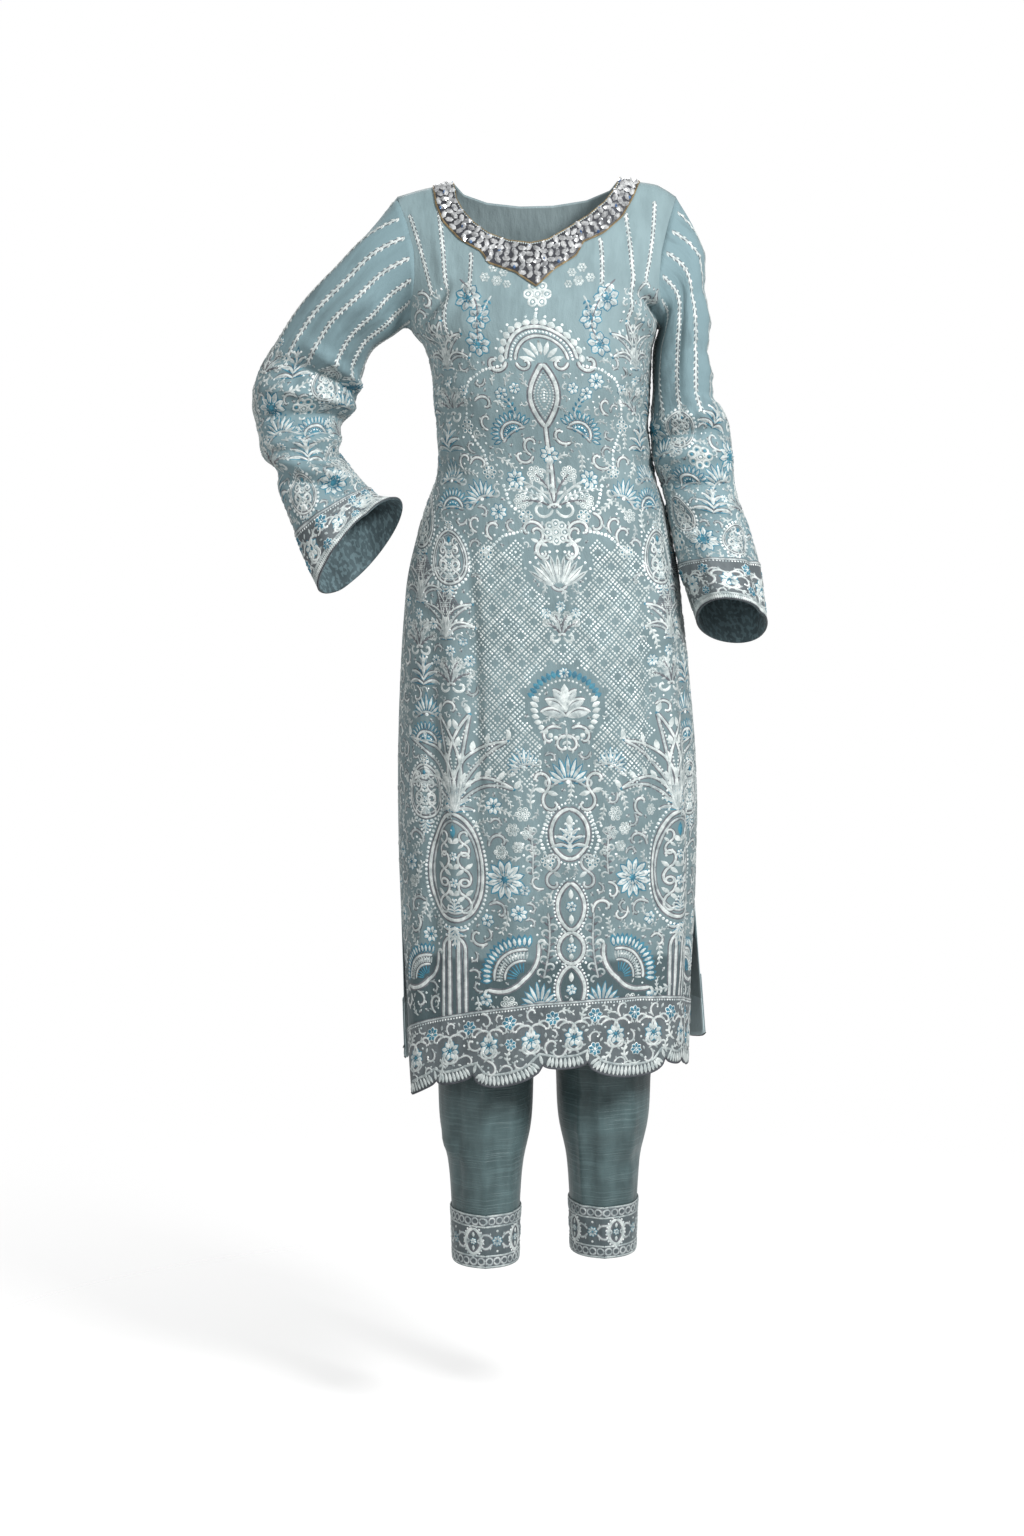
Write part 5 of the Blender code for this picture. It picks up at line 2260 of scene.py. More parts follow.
def front_skirt() -> Pattern:
    """The lower third of the front.

    Returns:
        The stitching.
    """
    made = Pattern().both(garland([24 - 740j, 34 - 772j, 26 - 796j]), 0)
    buds = ((54 - 742j, 9), (66 - 760j, 8), (48 - 764j, 8), (60 - 780j, 7), (42 - 784j, 6))
    made.lay((blossom(size, 6), at) for at, size in buds)
    return made.lay((
        (lotus(34), -708j), (link(44, 58, 0.1), -765j), (palmette(34), -782j), (link(32, 54, 0.25), -849j),
        (link(30, 36, 0.1), -897j), (link(32, 54, 0.25), -945j), (scroll(40, PALE, SEQUIN), 26 - 716j, 40),
        (lotus(26), 50 - 690j, -20), (scroll(34, SILVER), 20 - 808j, 62), (daisy(23, 12), 76 - 818j, 8),
        (daisy(12, 9, SILVER), 76 - 818j, 20), (tendril(76), 32 - 932j, 4), (tendril(58, 8), 44 - 812j, -4),
        (wing(49), 56 - 932j), (daisy(8, 6), 98 - 866j), (lotus(30), 36 - 966j, -8),
        (blossom(10, 6), 72 - 962j), (daisy(8, 6), 100 - 958j), (fronds(116), 134 - 742j),
        (medallion(70, 124), 138 - 806j), (bars(112), 140 - 990j), (wing(40), 178 - 940j),
    ))


def side_vines() -> Pattern:
    """The dense climbing columns beside the middle.

    Returns:
        The stitching.
    """
    made = Pattern()
    column_motifs = (
        (fan(25), 28), (medallion(44, 62), 84), (knots(15, GREY), 24), (fronds(58), 60),
        (bouquet(42, 56), 46), (palmette(38), 40), (lotus(28), 34),
    )
    for start, across, low, first in ((-196.0, 124.0, -400.0, 3), (-404.0, 134.0, -600.0, 1),
                                      (-260.0, 176.0, -700.0, 5)):
        height, k = start, first
        while height > low:
            motif, room = column_motifs[k % len(column_motifs)]
            made.both(motif, across + 4 * math.sin(height / 30) + 1j * (height - room / 2), 0)
            height -= room
            k += 1
    return made


# ---------------------------------------------------------------- finishes


@dataclass(frozen=True)
class ThreadLook:
    """How a thread, bead or stone looks: its two shades, roughness, metallic value and coat."""

    light: Colour
    dark: Colour
    roughness: float
    metallic: float = 0.0
    coat: float = 0.0

    def finish(self, name: str) -> Finish:
        """Make the material: shades that wander from stitch to stitch, and a fine twist.

        Args:
            name: the material's name.

        Returns:
            The material.
        """
        made = Finish(name, self.roughness, self.metallic, 0.0, self.coat)
        place = made.place()
        shade = made.noise(place, 9.0, 3.0).step(0.36, 0.66) * 0.65 + made.cells(place, 2.6) * 0.35
        made.colour(made.mix(shade, self.dark, self.light))
        if not self.coat:
            made.relief(made.noise(made.place((1, 1, 2.5)), 0.8, 1.0), 0.35)
        return made


THREAD_LOOKS = {
    SILVER: ThreadLook(linear(184, 192, 191), linear(124, 136, 138), 0.5, 0.2),
    PALE: ThreadLook(linear(206, 212, 210), linear(150, 161, 161), 0.5, 0.15),
    GREY: ThreadLook(linear(112, 114, 119), linear(70, 74, 80), 0.55, 0.15),
    TEAL: ThreadLook(linear(58, 128, 148), linear(22, 80, 102), 0.5),
    DARK: ThreadLook(linear(72, 76, 82), linear(44, 48, 54), 0.6),
    GOLD: ThreadLook(linear(134, 116, 82), linear(84, 72, 50), 0.45, 0.35),
    SEQUIN: ThreadLook(linear(236, 240, 238), linear(150, 166, 168), 0.3, 0.3),
    STONE: ThreadLook(linear(232, 234, 234), linear(126, 128, 131), 0.12, 0.5, 0.6),
    BLUE: ThreadLook(linear(110, 146, 190), linear(48, 78, 124), 0.15, 0.45, 0.6),
}


@dataclass(frozen=True)
class Weave:
    """A cloth's look: its shades, how it shines, and how coarse its threads are.

    Attributes:
        name: the material's name.
        light: its lighter shade.
        dark: its darker shade.
        roughness: the shader's roughness.
        sheen: its sheen weight.
        thread: the pitch of its threads in millimetres.
        slub: how strongly thicker threads show across it, from 0 to 1.
        crumpled: how much deeper its soft crumples are than its threads.
    """

    name: str
    light: Colour
    dark: Colour
    roughness: float = 0.75
    sheen: float = 0.3
    thread: float = 0.8
    slub: float = 0.0
    crumpled: float = 3.0

    def finish(self) -> Finish:
        """Make the material, with its clouding, painted shade on its crumples, its threads and its slubs.

        Returns:
            The material.
        """
        made = Finish(self.name, self.roughness, 0.0, self.sheen)
        flat = made.cloth_place()
        cloud = made.noise(flat, 70.0, 3.0).step(0.3, 0.7) * 0.55
        # one noise both bumps the crumples and paints their shade into the colour
        crumple_and_shade = made.noise(made.stretched(flat, 1.0, 0.35), 14.0, 3.0).step(0.3, 0.7) * 0.45
        shade = self.tone(made, flat, cloud + crumple_and_shade)
        grain = made.noise(made.stretched(flat, 0.25, 1.0), self.thread, 1.0)
        weft = made.noise(made.stretched(flat, 1.0, 0.25), self.thread, 1.0)
        height = grain * 0.4 + weft * 0.4 + crumple_and_shade * self.crumpled
        if self.slub:
            thick = made.noise(made.stretched(flat, 0.03, 1.0), 1.9, 2.0).step(0.45, 0.75)
            shade = shade * (1 - self.slub) + thick * self.slub
            height = height * 0.4 + thick * 0.6
        made.colour(made.mix(shade, self.dark, self.light))
        made.relief(height, 0.5)
        return made

    def tone(self, made: Finish, flat: Tap, shade: Tap) -> Tap:
        """The share of the light shade; a hook for cloths that change along their length."""
        return shade


@dataclass(frozen=True)
class Chiffon(Weave):
    """The kameez's cloth: paler on the chest, and dark where it hangs unlined, with painted shade for the
    shaded inside and the trousers seen through it.

    Attributes:
        sheer_top: the height below which no lining lies behind it.
        sheerness: how much darker it is there, painted for the shaded inside and the trousers seen through
            it.
        pale_top: the height above which it is at its palest.
    """

    sheer_top: float = LINING_HEM
    sheerness: float = 0.85
    pale_top: float = -150.0

    def tone(self, made: Finish, flat: Tap, shade: Tap) -> Tap:
        """Lift the chest, and paint shade on the unlined part for what shows through it."""
        height = made.part(flat, "Y")
        chest = height.step(self.pale_top - 330, self.pale_top)
        # painted shade below the lining: the shaded inside and the trousers, as seen through the sheer cloth
        sheer = height.step(self.sheer_top + 4, self.sheer_top - 4)
        return (shade * 0.3 + 0.4 + chest * 0.25) * (1 - sheer * self.sheerness)


@dataclass(frozen=True)
class BackChiffon(Chiffon):
    """The back's plain cloth: palest at its slits' facings, as painted light for light through the thin
    cloth, and behind its border.

    Attributes:
        facing: how far across from the middle the painted light on the facings begins and is full.
        slit_top: the height of the slits' tops.
        border_top: the height below which its border lies on it, so that only its inside shows.
    """

    # less painted shade below the lining than on the front
    sheerness: float = 0.25
    facing: tuple[float, float] = (205.0, 245.0)
    slit_top: float = SLIT_TOP
    border_top: float = -985.0

    def tone(self, made: Finish, flat: Tap, shade: Tap) -> Tap:
        """Paint light on the sides below the slits' tops, for light through the thin cloth, and lift the
        inside of the border.
        """
        height, across = made.part(flat, "Y"), made.part(flat, "X")
        # painted light: the sides below the slits' tops are lifted as if lit through the thin cloth
        side = across.step(*self.facing) + across.step(-self.facing[0], -self.facing[1])
        low = height.step(self.slit_top, self.slit_top - 40)
        bound = height.step(self.border_top, self.border_top - 2)
        return super().tone(made, flat, shade) * 0.55 + side * low * 0.4 + bound * 0.6


@dataclass(frozen=True)
class NettedSleeve(Weave):
    """A sleeve's cloth: dark and speckled inside its end, where its border's net backs it.

    Attributes:
        net_top: the place along the sleeve, downward, where its border begins.
    """

    net_top: float = -400.0

    def tone(self, made: Finish, flat: Tap, shade: Tap) -> Tap:
        """Sink the inside of the border, and leave its stitches' backs pale."""
        net = made.part(flat, "Y").step(self.net_top - 1, self.net_top - 3)
        backs = made.noise(flat, 5.0, 1.0).step(0.5, 0.56)
        return shade * (0.45 + (1 - net) * 0.55) + 0.55 - net * 0.55 + net * backs * 0.4


KAMEEZ = Chiffon("kameez_chiffon", linear(124, 145, 149), linear(50, 68, 72), 0.78, 0.1)
# the back's light shade is raised so that its facings can take painted light; its tone is scaled down
# elsewhere
KAMEEZ_BACK = BackChiffon("back_chiffon", linear(176, 194, 197), linear(58, 77, 81), 0.78, 0.1)
SLEEVES = {
    word: NettedSleeve(f"{word}_sleeve_chiffon", linear(106, 130, 136), linear(46, 62, 67), 0.78, 0.1,
                       net_top=net_top)
    for word, net_top in (("right", -361.5), ("left", -375.0))
}
BORDER = Weave("border_net", linear(92, 101, 104), linear(62, 70, 74), 0.7, 0.1, 1.4)
PLAIN_BORDER = Weave("pale_binding", linear(124, 142, 146), linear(98, 115, 120), 0.7, 0.1)
BAND_GROUND = Weave("band_ground", linear(50, 53, 60), linear(26, 28, 34), 0.5, 0.1)
NECK_FACING = Weave("neck_facing", linear(104, 127, 133), linear(78, 101, 107), 0.7, 0.1)
LINING = Weave("lining_cloth", linear(96, 118, 122), linear(74, 95, 99), 0.6, 0.1)
SILK = Weave("raw_silk", linear(84, 107, 109), linear(38, 57, 59), 0.5, 0.1, 0.9, 0.36)
CUFF_GROUND = Weave("cuff_ground", linear(84, 96, 99), linear(58, 69, 73), 0.6, 0.1, 1.2)


# ---------------------------------------------------------------- pieces


@dataclass
class Wardrobe:
    """What every piece shares: the finishes, and the random order."""

    threads: dict[Thread, Finish] = field(init=False)
    cloths: dict[str, Finish] = field(init=False)
    rng: np.random.Generator = field(init=False)

    def __post_init__(self) -> None:
        """Make the finishes."""
        self.threads = {thread: look.finish(thread.value) for thread, look in THREAD_LOOKS.items()}
        weaves = (KAMEEZ, KAMEEZ_BACK, *SLEEVES.values(), BORDER, PLAIN_BORDER, BAND_GROUND,
                  NECK_FACING, LINING, SILK, CUFF_GROUND)
        self.cloths = {weave.name: weave.finish() for weave in weaves}
        self.rng = np.random.default_rng(7)


@dataclass(frozen=True)
class Cut:
    """A cloth's flat cut in metres: its width, its length and the share of that which is cloth."""

    width: float
    length: float
    share: float = 1.0


class PanelCuts(NamedTuple):
    """The flat cuts of a kameez panel, its neck band, its hem border and its lining."""
    body: Cut
    band: Cut
    border: Cut
    lining: Cut


FRONT_CUTS = PanelCuts(*rows(Cut, (
    (0.52, 1.09, 0.8), (0.26, 0.14, 0.32), (0.50, 0.10, 0.74), (0.50, 0.22, 0.97))))
BACK_CUTS = PanelCuts(*rows(Cut, (
    (0.54, 1.07, 0.82), (0.25, 0.055, 0.34), (0.56, 0.10, 0.75), (0.54, 0.22, 0.97))))
SLEEVE_CUT = Cut(0.34, 0.44, 0.95)
LEG_CUT = Cut(0.52, 0.90, 0.8)
CUFF_CUT = Cut(0.29, 0.064)


def shell(name: str, node: str, surface: Surface, flat: Array, weave: Weave, slot: str,
          wardrobe: Wardrobe, lift: float = 0.0, closed: bool = False,
          thickness: float = SHELL) -> Piece:
    """Show a cloth in place of its CAD node.

    Args:
        name: the piece's name.
        node: the CAD node it stands for.
        surface: the worn surface that it lies on.
        flat: the places of its mesh.
        weave: its cloth.
        slot: its slot in the record.
        wardrobe: the finishes.
        lift: how far its face is above the surface, in millimetres.
        closed: true for a tube.
        thickness: of the cloth, inward.

    Returns:
        The piece.
    """
    mesh = grid_mesh(name, surface.place(flat, lift), flat, surface.facing, closed)
    piece = place_mesh(name, mesh, wardrobe.cloths[weave.name], slot)
    thicken(piece, thickness)
    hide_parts(node)
    LOG.info("%s: %d quads", name, len(mesh.polygons))
    return piece


def over(low: complex, high: complex) -> Callable[[np.random.Generator, int], Array]:
    """Random places in an upright rectangle.

    Args:
        low: its lower right corner.
        high: its upper left corner.

    Returns:
        A function that draws places.
    """

    def spots(rng: np.random.Generator, count: int) -> Array:
        """That many places."""
        x = rng.uniform(low.real, high.real, count)
        return x + 1j * rng.uniform(low.imag, high.imag, count)

    return spots


@dataclass
class KameezPanel:
    """The front or the back of the kameez, with its neck band, its border and its lining."""

    panel: Panel
    cuts: PanelCuts
    wardrobe: Wardrobe

    def build(self) -> None:
        """Make the panel and what lies on and under it."""
        word, flat, surface = self.panel.cut.word, self.panel.flat, self.panel.surface
        if self.panel.is_front:
            cloth, border, band, slot = KAMEEZ, BORDER, BAND_GROUND, "stoned_band"
        else:
            cloth, border, band, slot = KAMEEZ_BACK, PLAIN_BORDER, NECK_FACING, "neck_finish"
        self.body = shell(f"{word}_panel", f"kameez_{word}", surface, flat, cloth, "kameez_cloth",
                          self.wardrobe)
        self.band = shell(f"{word}_neck_band", f"neck_band_{word}", surface,
                          flat[:self.panel.collar_rows + 1], band, slot, self.wardrobe, LAID,
                          thickness=BAND_SHELL)
        self.border = shell(f"{word}_hem_border", f"hem_border_{word}", surface,
                            flat[-BORDER_FINE - 1:], border, "border_net", self.wardrobe, LAID,
                            thickness=BAND_SHELL)
        lining = flat[self.panel.rows_below(LINING_TOP):self.panel.rows_below(LINING_HEM) + 1]
        self.lining = shell(f"{word}_lining", f"lining_{word}", surface, lining, LINING,
                            "lining_cloth", self.wardrobe, -UNDER, thickness=LINING_SHELL)

    def dress(self) -> None:
        worked, banded = (self.sew_body(), self.sew_band()) if self.panel.is_front else ([], [])
        self.sew_border()

    def sew_body(self) -> list[Piece]:
        """The front's stitching: seen vines on the yoke, the laid-out motifs, then the filling.

        Returns:
            The meshes.
        """
        ground = Ground(self.panel.holds)
        pattern = Pattern()
        for x0, z0, x1, z1 in YOKE_VINES:
            ends = self.panel.surface.flat_at(np.array([x0, x1]), np.array([z0, z1]))
            pattern.add(vine(bow(ends[0], ends[1], 0.02)))
        pattern.add(front_centre())
        pattern.add(front_lattice())
        pattern.add(front_skirt())
        pattern.add(side_vines())
        ground.mark(pattern)
        for filling in FRONT_FILLINGS:
            motifs = small_motifs(filling.density, filling.teal)
            ground.fill(pattern, motifs, over(filling.low, filling.high), self.wardrobe.rng)
        return sew("front", self.panel.surface, pattern, self.wardrobe.threads, "kameez_cloth",
                   self.panel.holds)

    def sew_band(self) -> list[Piece]:
        """The stones of the neck band, set in leaning rows, with beads and an edge thread.

        Returns:
            The meshes.
        """
        collar = self.panel.flat[:self.panel.collar_rows + 1]
        last = collar.shape[1] - 1
        worn = self.panel.surface.place(collar).mean(axis=0)
        run = np.append(0, np.cumsum(np.linalg.norm(np.diff(worn, axis=0), axis=-1)))
        pattern = Pattern()
        columns = np.interp(np.arange(3.0, run[-1] - 2, STONE_PITCH), run, np.arange(len(run)))
        for k, col in enumerate(columns):
            j = int(min(col, last - 1))
            line = collar[:, j] * (1 - col + j) + collar[:, j + 1] * (col - j)
            way = np.angle(collar[4, min(j + 2, last)] - collar[4, max(j - 2, 0)], deg=True)
            count = max(2, round((float(np.abs(np.diff(line)).sum()) - 2) / STONE_ROOM))
            for m in range(count):
                share = (m + 0.5 + 0.4 * (k % 2 - 0.5)) / count
                at = line[0] + (line[-1] - line[0]) * (0.06 + 0.88 * share)
                pattern.stone(STONE, at, way + STONE_LEANS[(m + 3 * k) % 4], *STONE_SIZE)
            if k % 2 == 0:
                across = BLUE_PLACES[k // 2 % 3]
                pattern.stone(BLUE, line[0] + (line[-1] - line[0]) * across, way, *BLUE_SIZE)
        pattern.beads(SILVER, collar[0] + (collar[-1] - collar[0]) * 0.03, 1.1, 2.8)
        pattern.cord(GOLD, collar[-1], 1.2, 0.8)
        pattern.cord(GOLD, collar[0], 0.9, 0.7)
        return sew("front_band", self.panel.surface, pattern, self.wardrobe.threads, "stoned_band",
                   lift=LAID)

    def sew_border(self) -> list[Piece]:
        """The hem border: what is worked on it, the bars along its scallops and its cords.

        Returns:
            The meshes.
        """
        hem, top = self.panel.flat[-1], self.panel.flat[-BORDER_FINE - 1]
        low, high = top.real.min() + 3, top.real.max() - 3
        if self.panel.is_front:
            pattern = self.rich_border(low, high)
        else:
            line = np.linspace(low, high, 60)
            pattern = Pattern().cord(SILVER, line + 1j * (BORDER_DEPTH - 3), 2.0)
            pattern = self.raised(pattern.cord(SILVER, line + 12j, 2.0))
        edge = even(hem, BAR_PITCH)
        way = np.gradient(edge)
        inward = 1j * way / np.abs(way)
        for at, up in zip(edge, inward):
            pattern.leaf(PALE, at + 0.4 * up, at + up * BAR, 3.6, 1.0)
        pattern.cord(SILVER, edge + (BAR + 0.8) * inward, 1.5)
        pattern.cord(DARK, hem, 1.3)
        return sew(f"{self.panel.cut.word}_border", self.panel.surface, pattern, self.wardrobe.threads,
                   "border_net", lift=LAID)

    def raised(self, pattern: Pattern) -> Pattern:
        """The pattern, moved from heights above the hem's notches to its places on the panel.

        Args:
            pattern: the stitching, over a level foot.

        Returns:
            The moved stitching.
        """
        top = self.panel.flat[-BORDER_FINE - 1]
        base = top.imag - BORDER_DEPTH
        return pattern.moved(lambda places: places + 1j * np.interp(places.real, top.real, base))

    def rich_border(self, low: float, high: float) -> Pattern:
        """The front border's flowers and curls, with small motifs in what they leave free.

        Args:
            low: where the flowers start.
            high: where they end.

        Returns:
            The stitching.
        """
        foot, head = self.panel.flat[-1], self.panel.flat[-BORDER_FINE - 1]

        def holds(flat: Array) -> Array:
            """True for the places well inside the border, above its bars."""
            inside = self.panel.holds(flat, BORDER_MARGIN)
            inside &= flat.imag > np.interp(flat.real, foot.real, foot.imag) + BAR + 1
            return inside & (flat.imag < np.interp(flat.real, head.real, head.imag) - 5)

        band = Pattern()
        border_band(band, low, high, BORDER_DEPTH)
        pattern = Pattern()
        pattern.stitches = [stitch for stitch in self.raised(band).stitches
                            if self.panel.holds(stitch.places, BORDER_MARGIN).all()]
        ground = Ground(holds)
        ground.mark(pattern)
        ground.fill(pattern, border_motifs(), over(low - 1060j, high - 940j), self.wardrobe.rng)
        return pattern


def border_band(pattern: Pattern, low: float, high: float, depth: float) -> None:
    """Stitch a border's flowers and curls, and the braid on top of them.

    Args:
        pattern: gets the stitches; places are heights above the band's foot.
        low: where the band starts.
        high: where it ends.
        depth: its height.
    """
    count = max(2, round((high - low) / 50))
    pitch = (high - low) / count
    for k in range(count + 1):
        at = low + k * pitch
        upper, lower = at + 1j * depth * 0.74, at + pitch / 2 + 1j * depth * 0.42
        pattern.add(daisy(8.5, 7, TEAL, SEQUIN), upper, 20 * k)
        pattern.add(daisy(11.5, 8), lower, 15)
        for side in (-1, 1):
            pattern.add(comma(19), upper + side * 11 - 5j, -side * 30, 1, side < 0)
            pattern.add(comma(19), lower + side * 9 - 9j, side * 190, 1, side < 0)
            pattern.add(comma(15), lower + side * 8 + 0.28j * depth, -side * 20, 1, side < 0)
    line = np.linspace(low, high, max(3, round((high - low) / 8)))
    pattern.braid(SILVER, line + 1j * (depth - 1.8), 1.5)
    pattern.beads(SEQUIN, [low + 1j * (depth - 4.6), high + 1j * (depth - 4.6)], 1.2, 3.6)


def border_motifs() -> list[tuple[Pattern, float, int]]:
    """The small motifs that fill a border, from the largest down.

    Returns:
        Each motif, its room and its tries.
    """
    return [
        (daisy(8.0, 7, TEAL, SEQUIN), 7.5, 260),
        (comma(16.0).recentred(), 6.4, 2600),
        (sprig(18.0, 3, PALE, PALE, 0.2).recentred(), 4.6, 2600),
        (comma(11.0).recentred(), 4.4, 3600),
        (Pattern().leaf(SILVER, -3.0 + 0j, 3.0 + 0j, 2.6), 2.4, 3600),
        (Pattern().bead(SEQUIN, 0, 1.5), 1.9, 3000),
    ]


@dataclass
class Limb:
    """A tube of cloth with a band at its end.

    Attributes:
        word: right or left.
        surface: its worn form.
        cut: the tube's flat cut; not used.
        band_cut: its band's; not used.
        band_top: how far down the tube its band begins, in millimetres.
        wardrobe: the finishes.
        columns: of its mesh, round the tube.
        row: the pitch of its mesh's rows, in millimetres.
    """

    word: str
    surface: Tube
    cut: Cut
    band_cut: Cut
    band_top: float
    wardrobe: Wardrobe
    columns: int = 72
    row: float = 5.5

    def places(self, top: float, count: int) -> Array:
        """The places of count rows of the mesh, from top millimetres down the tube to its end."""
        share = np.linspace(0, 1, self.columns + 1)[None]
        return self.surface.flat(share, np.linspace(top, self.surface.length, count)[:, None])

    def whole(self) -> Array:
        """The places of the whole tube's mesh."""
        return self.places(0, round(self.surface.length / self.row))


@dataclass
class Sleeve(Limb):
    """A sleeve, with its stitching and its border.

    Attributes:
        dense_from: how far down it the vines give way to close stitching, in millimetres.
        motif_rows: the pitch of the rows of its large motifs.
        motif_pitch: the pitch of the motifs in a row.
        sway: how far a motif is turned at most, in degrees.
    """

    dense_from: float = 172.0
    motif_rows: float = 35.0
    motif_pitch: float = 42.0
    sway: float = 25.0

    def build(self) -> None:
        """Make the sleeve and its border."""
        word, tube = self.word, self.surface
        self.body = shell(f"{word}_sleeve", f"sleeve_{word}", tube, self.whole(), SLEEVES[word],
                          "kameez_cloth", self.wardrobe, closed=True)
        self.border = shell(f"{word}_sleeve_border", f"cuff_border_{word}", tube,
                            self.places(self.band_top, SLEEVE_BAND_ROWS), BORDER, "border_net",
                            self.wardrobe, LAID, closed=True, thickness=BAND_SHELL)

    def dress(self) -> None:
        pattern = self.vines()
        self.add_motifs(pattern)
        ground = Ground(self.holds)
        ground.mark(pattern)
        low, high = self.span(self.dense_from)
        spots = over(low - 1j * self.band_top, high - 1j * self.dense_from)
        ground.fill(pattern, small_motifs(1.0, 0.6), spots, self.wardrobe.rng)
        made = sew(f"{self.word}_sleeve", self.surface, pattern, self.wardrobe.threads, "kameez_cloth",
                   self.holds)
        self.sew_border()

    def span(self, down: float) -> tuple[float, float]:
        """The places, from the front line, at which the cloth meets itself at a distance down it."""
        start = -self.surface.front_at(down)
        return start, start + self.surface.girth_at(down)

    def holds(self, flat: Array) -> Array:
        """Tell which places are on the sleeve, above its border.

        Args:
            flat: the places.

        Returns:
            True for each place on it.
        """
        low, high = self.span(-flat.imag)
        inside = (flat.real > low) & (flat.real < high)
        return inside & (flat.imag < -4) & (flat.imag > 1 - self.band_top)

    def vines(self) -> Pattern:
        """The vines down the sleeve's plain upper part, which end at three heights in turn.

        Returns:
            The stitching.
        """
        pattern = Pattern()
        count = round(self.surface.girth_at(self.dense_from) / VINE_PITCH)
        for k in range(count):
            share = np.full(2, (k + 0.5) / count)
            ends = np.array([VINE_TOP, self.dense_from + VINE_STEP * (k % 3)])
            pattern.add(vine(self.surface.flat(share, ends), SLEEVE_LEAF))
        return pattern

    def add_motifs(self, pattern: Pattern) -> None:
        """Work rows of large motifs from the vines' ends down to the border.

        Args:
            pattern: gets the stitches.
        """
        motifs = (
            daisy(19, 10), fan(26), medallion(34, 44), lotus(30), palmette(36),
            blossom(14, 7, PALE, TEAL), bouquet(34, 64),
        )
        low, high = self.span(self.dense_from)
        tops = np.arange(self.dense_from + 20, self.band_top - 14, self.motif_rows)
        for k, down in enumerate(tops):
            for j, at in enumerate(np.arange(low + 18 + 20 * (k % 2), high, self.motif_pitch)):
                turn = float(self.wardrobe.rng.uniform(-self.sway, self.sway))
                pattern.add(motifs[(3 * k + 2 * j) % len(motifs)], at - 1j * down, turn)

    def sew_border(self) -> list[Piece]:
        """The border of flowers, its pale barred edge and its dark piping.

        Returns:
            The meshes.
        """
        tube = self.surface
        end = tube.length
        low, high = self.span(end - 20)
        pattern = Pattern()
        depth = end - self.band_top - SLEEVE_EDGE
        border_band(pattern, low, high, depth)
        ground = Ground(lambda flat: (flat.real > low) & (flat.real < high) & (flat.imag < depth - 6))
        ground.mark(pattern)
        spots = over(low + 2j, high + 1j * (depth - 6))
        ground.fill(pattern, border_motifs(), spots, self.wardrobe.rng)
        pattern = pattern.moved(lambda places: places - 1j * (end - SLEEVE_EDGE))
        low, high = self.span(end)
        for at in np.arange(low, high, 2.6):
            pattern.leaf(PALE, at - 1j * (end - 1.5), at + 0.6 - 1j * (end - SLEEVE_EDGE + 1), 2.4)
        around = np.linspace(low, high, 60)
        pattern.cord(SILVER, around - 1j * (end - SLEEVE_EDGE), 2.0)
        pattern.cord(DARK, around - 1j * (end - 0.8), 2.0, 1.0)
        return sew(f"{self.word}_sleeve_border", tube, pattern, self.wardrobe.threads, "border_net",
                   lift=LAID)


@dataclass
class TrouserLeg(Limb):
    """A trouser leg and its cuff."""

    columns: int = 96
    row: float = 8.0

    def build(self) -> None:
        """Make the leg and its cuff."""
        word, tube = self.word, self.surface
        self.body = shell(f"{word}_trouser_leg", f"trouser_leg_{word}", tube, self.whole(), SILK,
                          "trouser_silk", self.wardrobe, thickness=BAND_SHELL)
        self.cuff = shell(f"{word}_trouser_cuff", f"trouser_cuff_{word}", tube,
                          self.places(self.band_top, CUFF_ROWS), CUFF_GROUND, "trouser_band",
                          self.wardrobe, LAID, closed=True, thickness=BAND_SHELL)

    def dress(self) -> None:
        tube = self.surface
        top, end = self.band_top, tube.length
        middle = (top + end) / 2
        girth, front = float(tube.girth_at(middle)), float(tube.front_at(middle))
        pattern = Pattern()
        count = round(girth / 58)
        pitch = girth / count
        for k in range(count):
            at = k * pitch - front + pitch / 2 - 1j * middle
            pattern.add(link(20, 30, 0.1), at)
            pattern.add(cuff_spray(), at + pitch / 2)
        for edge in (top + 7.5, end - 8):
            low = -tube.front_at(edge)
            around = np.linspace(low, low + tube.girth_at(edge), 50) - 1j * edge
            for offset in (-6.4j, 6.4j):
                pattern.cord(SILVER, around + offset, 1.2)
            for at in even(around, 9.5)[:-1]:
                pattern.braid(SILVER, at + 4.2 * ring(1.0, 9), 1.3)
                pattern.bead(GREY, at + 4.75, 1.2)
        made = sew(f"{self.word}_trouser_cuff", tube, pattern, self.wardrobe.threads, "trouser_band",
                   lift=LAID)


